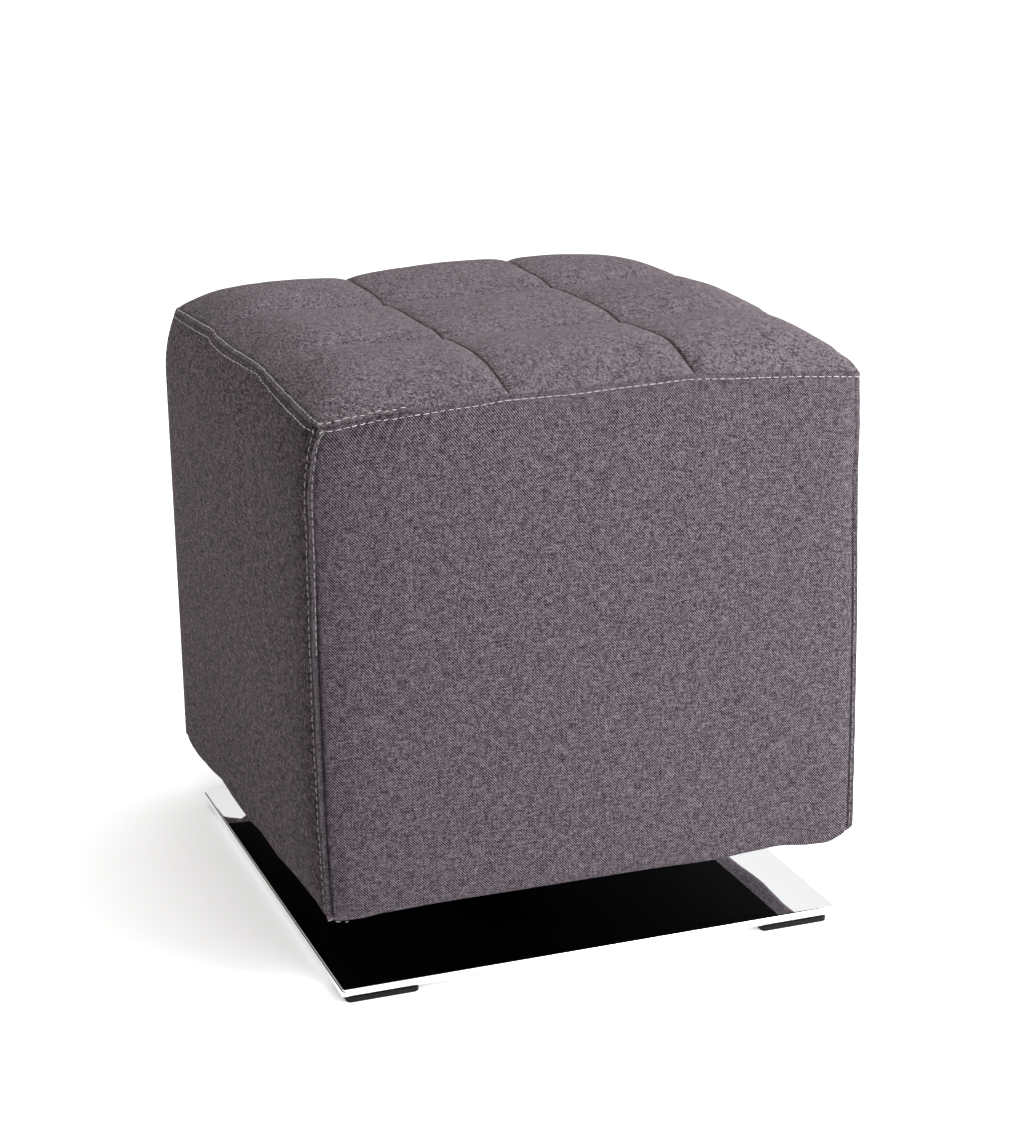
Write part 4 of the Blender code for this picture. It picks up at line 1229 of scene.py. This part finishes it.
class POUF_OT_black_parts(bpy.types.Operator):
    """Finish the covered board under the cube and the pads under the plate"""
    bl_idname = "pouf.black_parts"
    bl_label = "Board and Pads"

    def execute(self, context):
        cover = grained("black_lining", (0.0003, 0.0003, 0.0004), (0.0010, 0.0010, 0.0012),
                        420.0, 1.0, relief=0.4, gloss=0.03)
        plastic = grained("moulded_black", (0.004, 0.0035, 0.0035), (0.009, 0.008, 0.008), 900.0, 0.5)
        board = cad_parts["underside_board"]
        board.data.materials.clear()
        board.data.materials.append(cover)
        plate_low, plate_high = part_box("base_plate")
        middle = (plate_low + plate_high) / 2.0
        for node in sorted(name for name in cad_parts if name.startswith("pad_")):
            low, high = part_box(node)
            centre = (low + high) / 2.0
            outward = np.sign(centre.y - middle.y)
            centre = np.array((centre.x, centre.y + outward * PAD_REACH / 2.0))
            half = np.array((high.x - low.x, high.y - low.y + PAD_REACH)) / 2.0
            levels = ((0.5, low.z), (0.0, low.z + 0.5 * MM), (0.0, high.z - 0.1 * MM))
            rings = [rounded_square(centre, *(half - inset * MM), (PAD_CORNER - inset) * MM, height)
                     for inset, height in levels]
            piece = outline_solid("moulded_" + node, rings, plastic)
            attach(piece, "root")
            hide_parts(node)
        return {"FINISHED"}


# ---------------------------------------------------------------- stage

class POUF_OT_studio(bpy.types.Operator):
    """Set the plain pale floor, the soft studio light and the camera"""
    bl_idname = "pouf.studio"
    bl_label = "Studio"

    def execute(self, context):
        self.lay_floor(context)
        self.light_room(context)
        self.place_camera(context)
        context.scene.view_settings.view_transform = "Standard"
        return {"FINISHED"}

    @staticmethod
    def lay_floor(context):
        """A wide pale floor with a little glow of its own, which holds its shadows down."""
        mesh = bpy.data.meshes.new("studio_floor")
        corners = [(x * FLOOR_REACH, y * FLOOR_REACH, 0) for x, y in ((-1, -1), (1, -1), (1, 1), (-1, 1))]
        mesh.from_pydata(corners, [], [(0, 1, 2, 3)])
        pale = new_material("studio_floor")[0]
        mesh.materials.append(finished(pale, Base_Color=(*context.scene.pouf_colours.floor, 1.0),
                                       Roughness=0.9, Specular_IOR_Level=0.1,
                                       Emission_Color=(1.0, 1.0, 1.0, 1.0), Emission_Strength=FLOOR_GLOW))
        floor = scene_object("studio_floor", mesh)

    @staticmethod
    def light_room(context):
        """A room that is dark on the left and light on the right, with a light ceiling, and one soft lamp."""
        world = bpy.data.worlds.new("studio_light")
        context.scene.world = world
        world.use_nodes = True
        tree = world.node_tree
        background = tree.nodes["Background"]
        direction = shade_node(tree, "ShaderNodeTexCoord", (-900, 0)).outputs["Generated"]
        parts = shade_node(tree, "ShaderNodeSeparateXYZ", (-700, 0), Vector=direction).outputs
        share = mapped(tree, parts["X"], -1.0, 1.0, 0.0, 1.0)
        ramp = shade_node(tree, "ShaderNodeValToRGB", (-300, 0), Fac=share)
        stops = ramp.color_ramp.elements
        stops[0].color, stops[1].color = WALL_ENDS
        for position, value, warmth in WALL_TONES:
            stops.new(position).color = (value + warmth, value, value - warmth, 1.0)
        ceiling = mapped(tree, parts["Z"], CEILING_FROM, CEILING_TO, 0.0, CEILING_LIGHT,
                         interpolation_type="SMOOTHSTEP")
        bright = shade_node(tree, "ShaderNodeVectorMath", (-100, 0), operation="ADD",
                            i0=ramp.outputs["Color"], i1=ceiling)
        tree.links.new(bright.outputs[0], background.inputs["Color"])
        background.inputs["Strength"].default_value = 1.0
        lamp = bpy.data.lights.new("key", "AREA")
        lamp.energy, lamp.size = KEY_POWER, KEY_SIZE
        key = scene_object("key", lamp)
        key.location = KEY_PLACE
        key.rotation_euler = (Vector(KEY_AIM) - key.location).to_track_quat("-Z", "Y").to_euler()

    @staticmethod
    def place_camera(context):
        """The photograph's camera, found from the seams and the plate's corners."""
        turn, rise = math.radians(CAMERA_TURN), math.radians(CAMERA_RISE)
        back = Vector((math.sin(turn) * math.cos(rise), -math.cos(turn) * math.cos(rise), math.sin(rise)))
        right = (-back).cross(Vector((0.0, 0.0, 1.0))).normalized()
        up = right.cross(-back)
        data = bpy.data.cameras.new("camera")
        data.sensor_width, data.lens = SENSOR, CAMERA_FOCAL * SENSOR / FRAME_HEIGHT
        camera = scene_object("camera", data)
        camera.location = back * CAMERA_BACK + right * CAMERA_RIGHT + up * CAMERA_UP
        camera.rotation_euler = (-back).to_track_quat("-Z", "Y").to_euler()
        context.scene.camera = camera


# ---------------------------------------------------------------- panel and registering

STEPS = (POUF_OT_quilted_top, POUF_OT_padded_sides, POUF_OT_top_stitching, POUF_OT_loose_threads,
         POUF_OT_quilt_stitching, POUF_OT_chromed_plate, POUF_OT_column, POUF_OT_black_parts, POUF_OT_studio)
GROUPS = (("pouf_cube", PoufCubeSizes), ("pouf_seams", PoufSeamSizes), ("pouf_colours", PoufColours))


class POUF_PT_sidebar(bpy.types.Panel):
    """Lists the stool's sizes, colours and making steps"""
    bl_idname = "POUF_PT_sidebar"
    bl_label = "Cube Pouf Stool"
    bl_space_type = "VIEW_3D"
    bl_region_type = "UI"
    bl_category = "Pouf"

    def draw(self, context):
        for name, group in GROUPS:
            box = self.layout.box()
            for entry in group.__annotations__:
                box.prop(getattr(context.scene, name), entry)
        for step in STEPS:
            self.layout.operator(step.bl_idname)


def register():
    """Add the sizes, the colours, the operators and the panel to Blender."""
    for name, group in GROUPS:
        bpy.utils.register_class(group)
        setattr(bpy.types.Scene, name, bpy.props.PointerProperty(type=group))
    for made in (*STEPS, POUF_PT_sidebar):
        bpy.utils.register_class(made)


def unregister():
    """Take them out again."""
    for made in reversed((*STEPS, POUF_PT_sidebar)):
        bpy.utils.unregister_class(made)
    for name, group in reversed(GROUPS):
        delattr(bpy.types.Scene, name)
        bpy.utils.unregister_class(group)


def main():
    """Make the stool and its stage."""
    register()
    for step in STEPS:
        family, action = step.bl_idname.split(".")
        getattr(getattr(bpy.ops, family), action)()


if __name__ == "__main__":
    main()
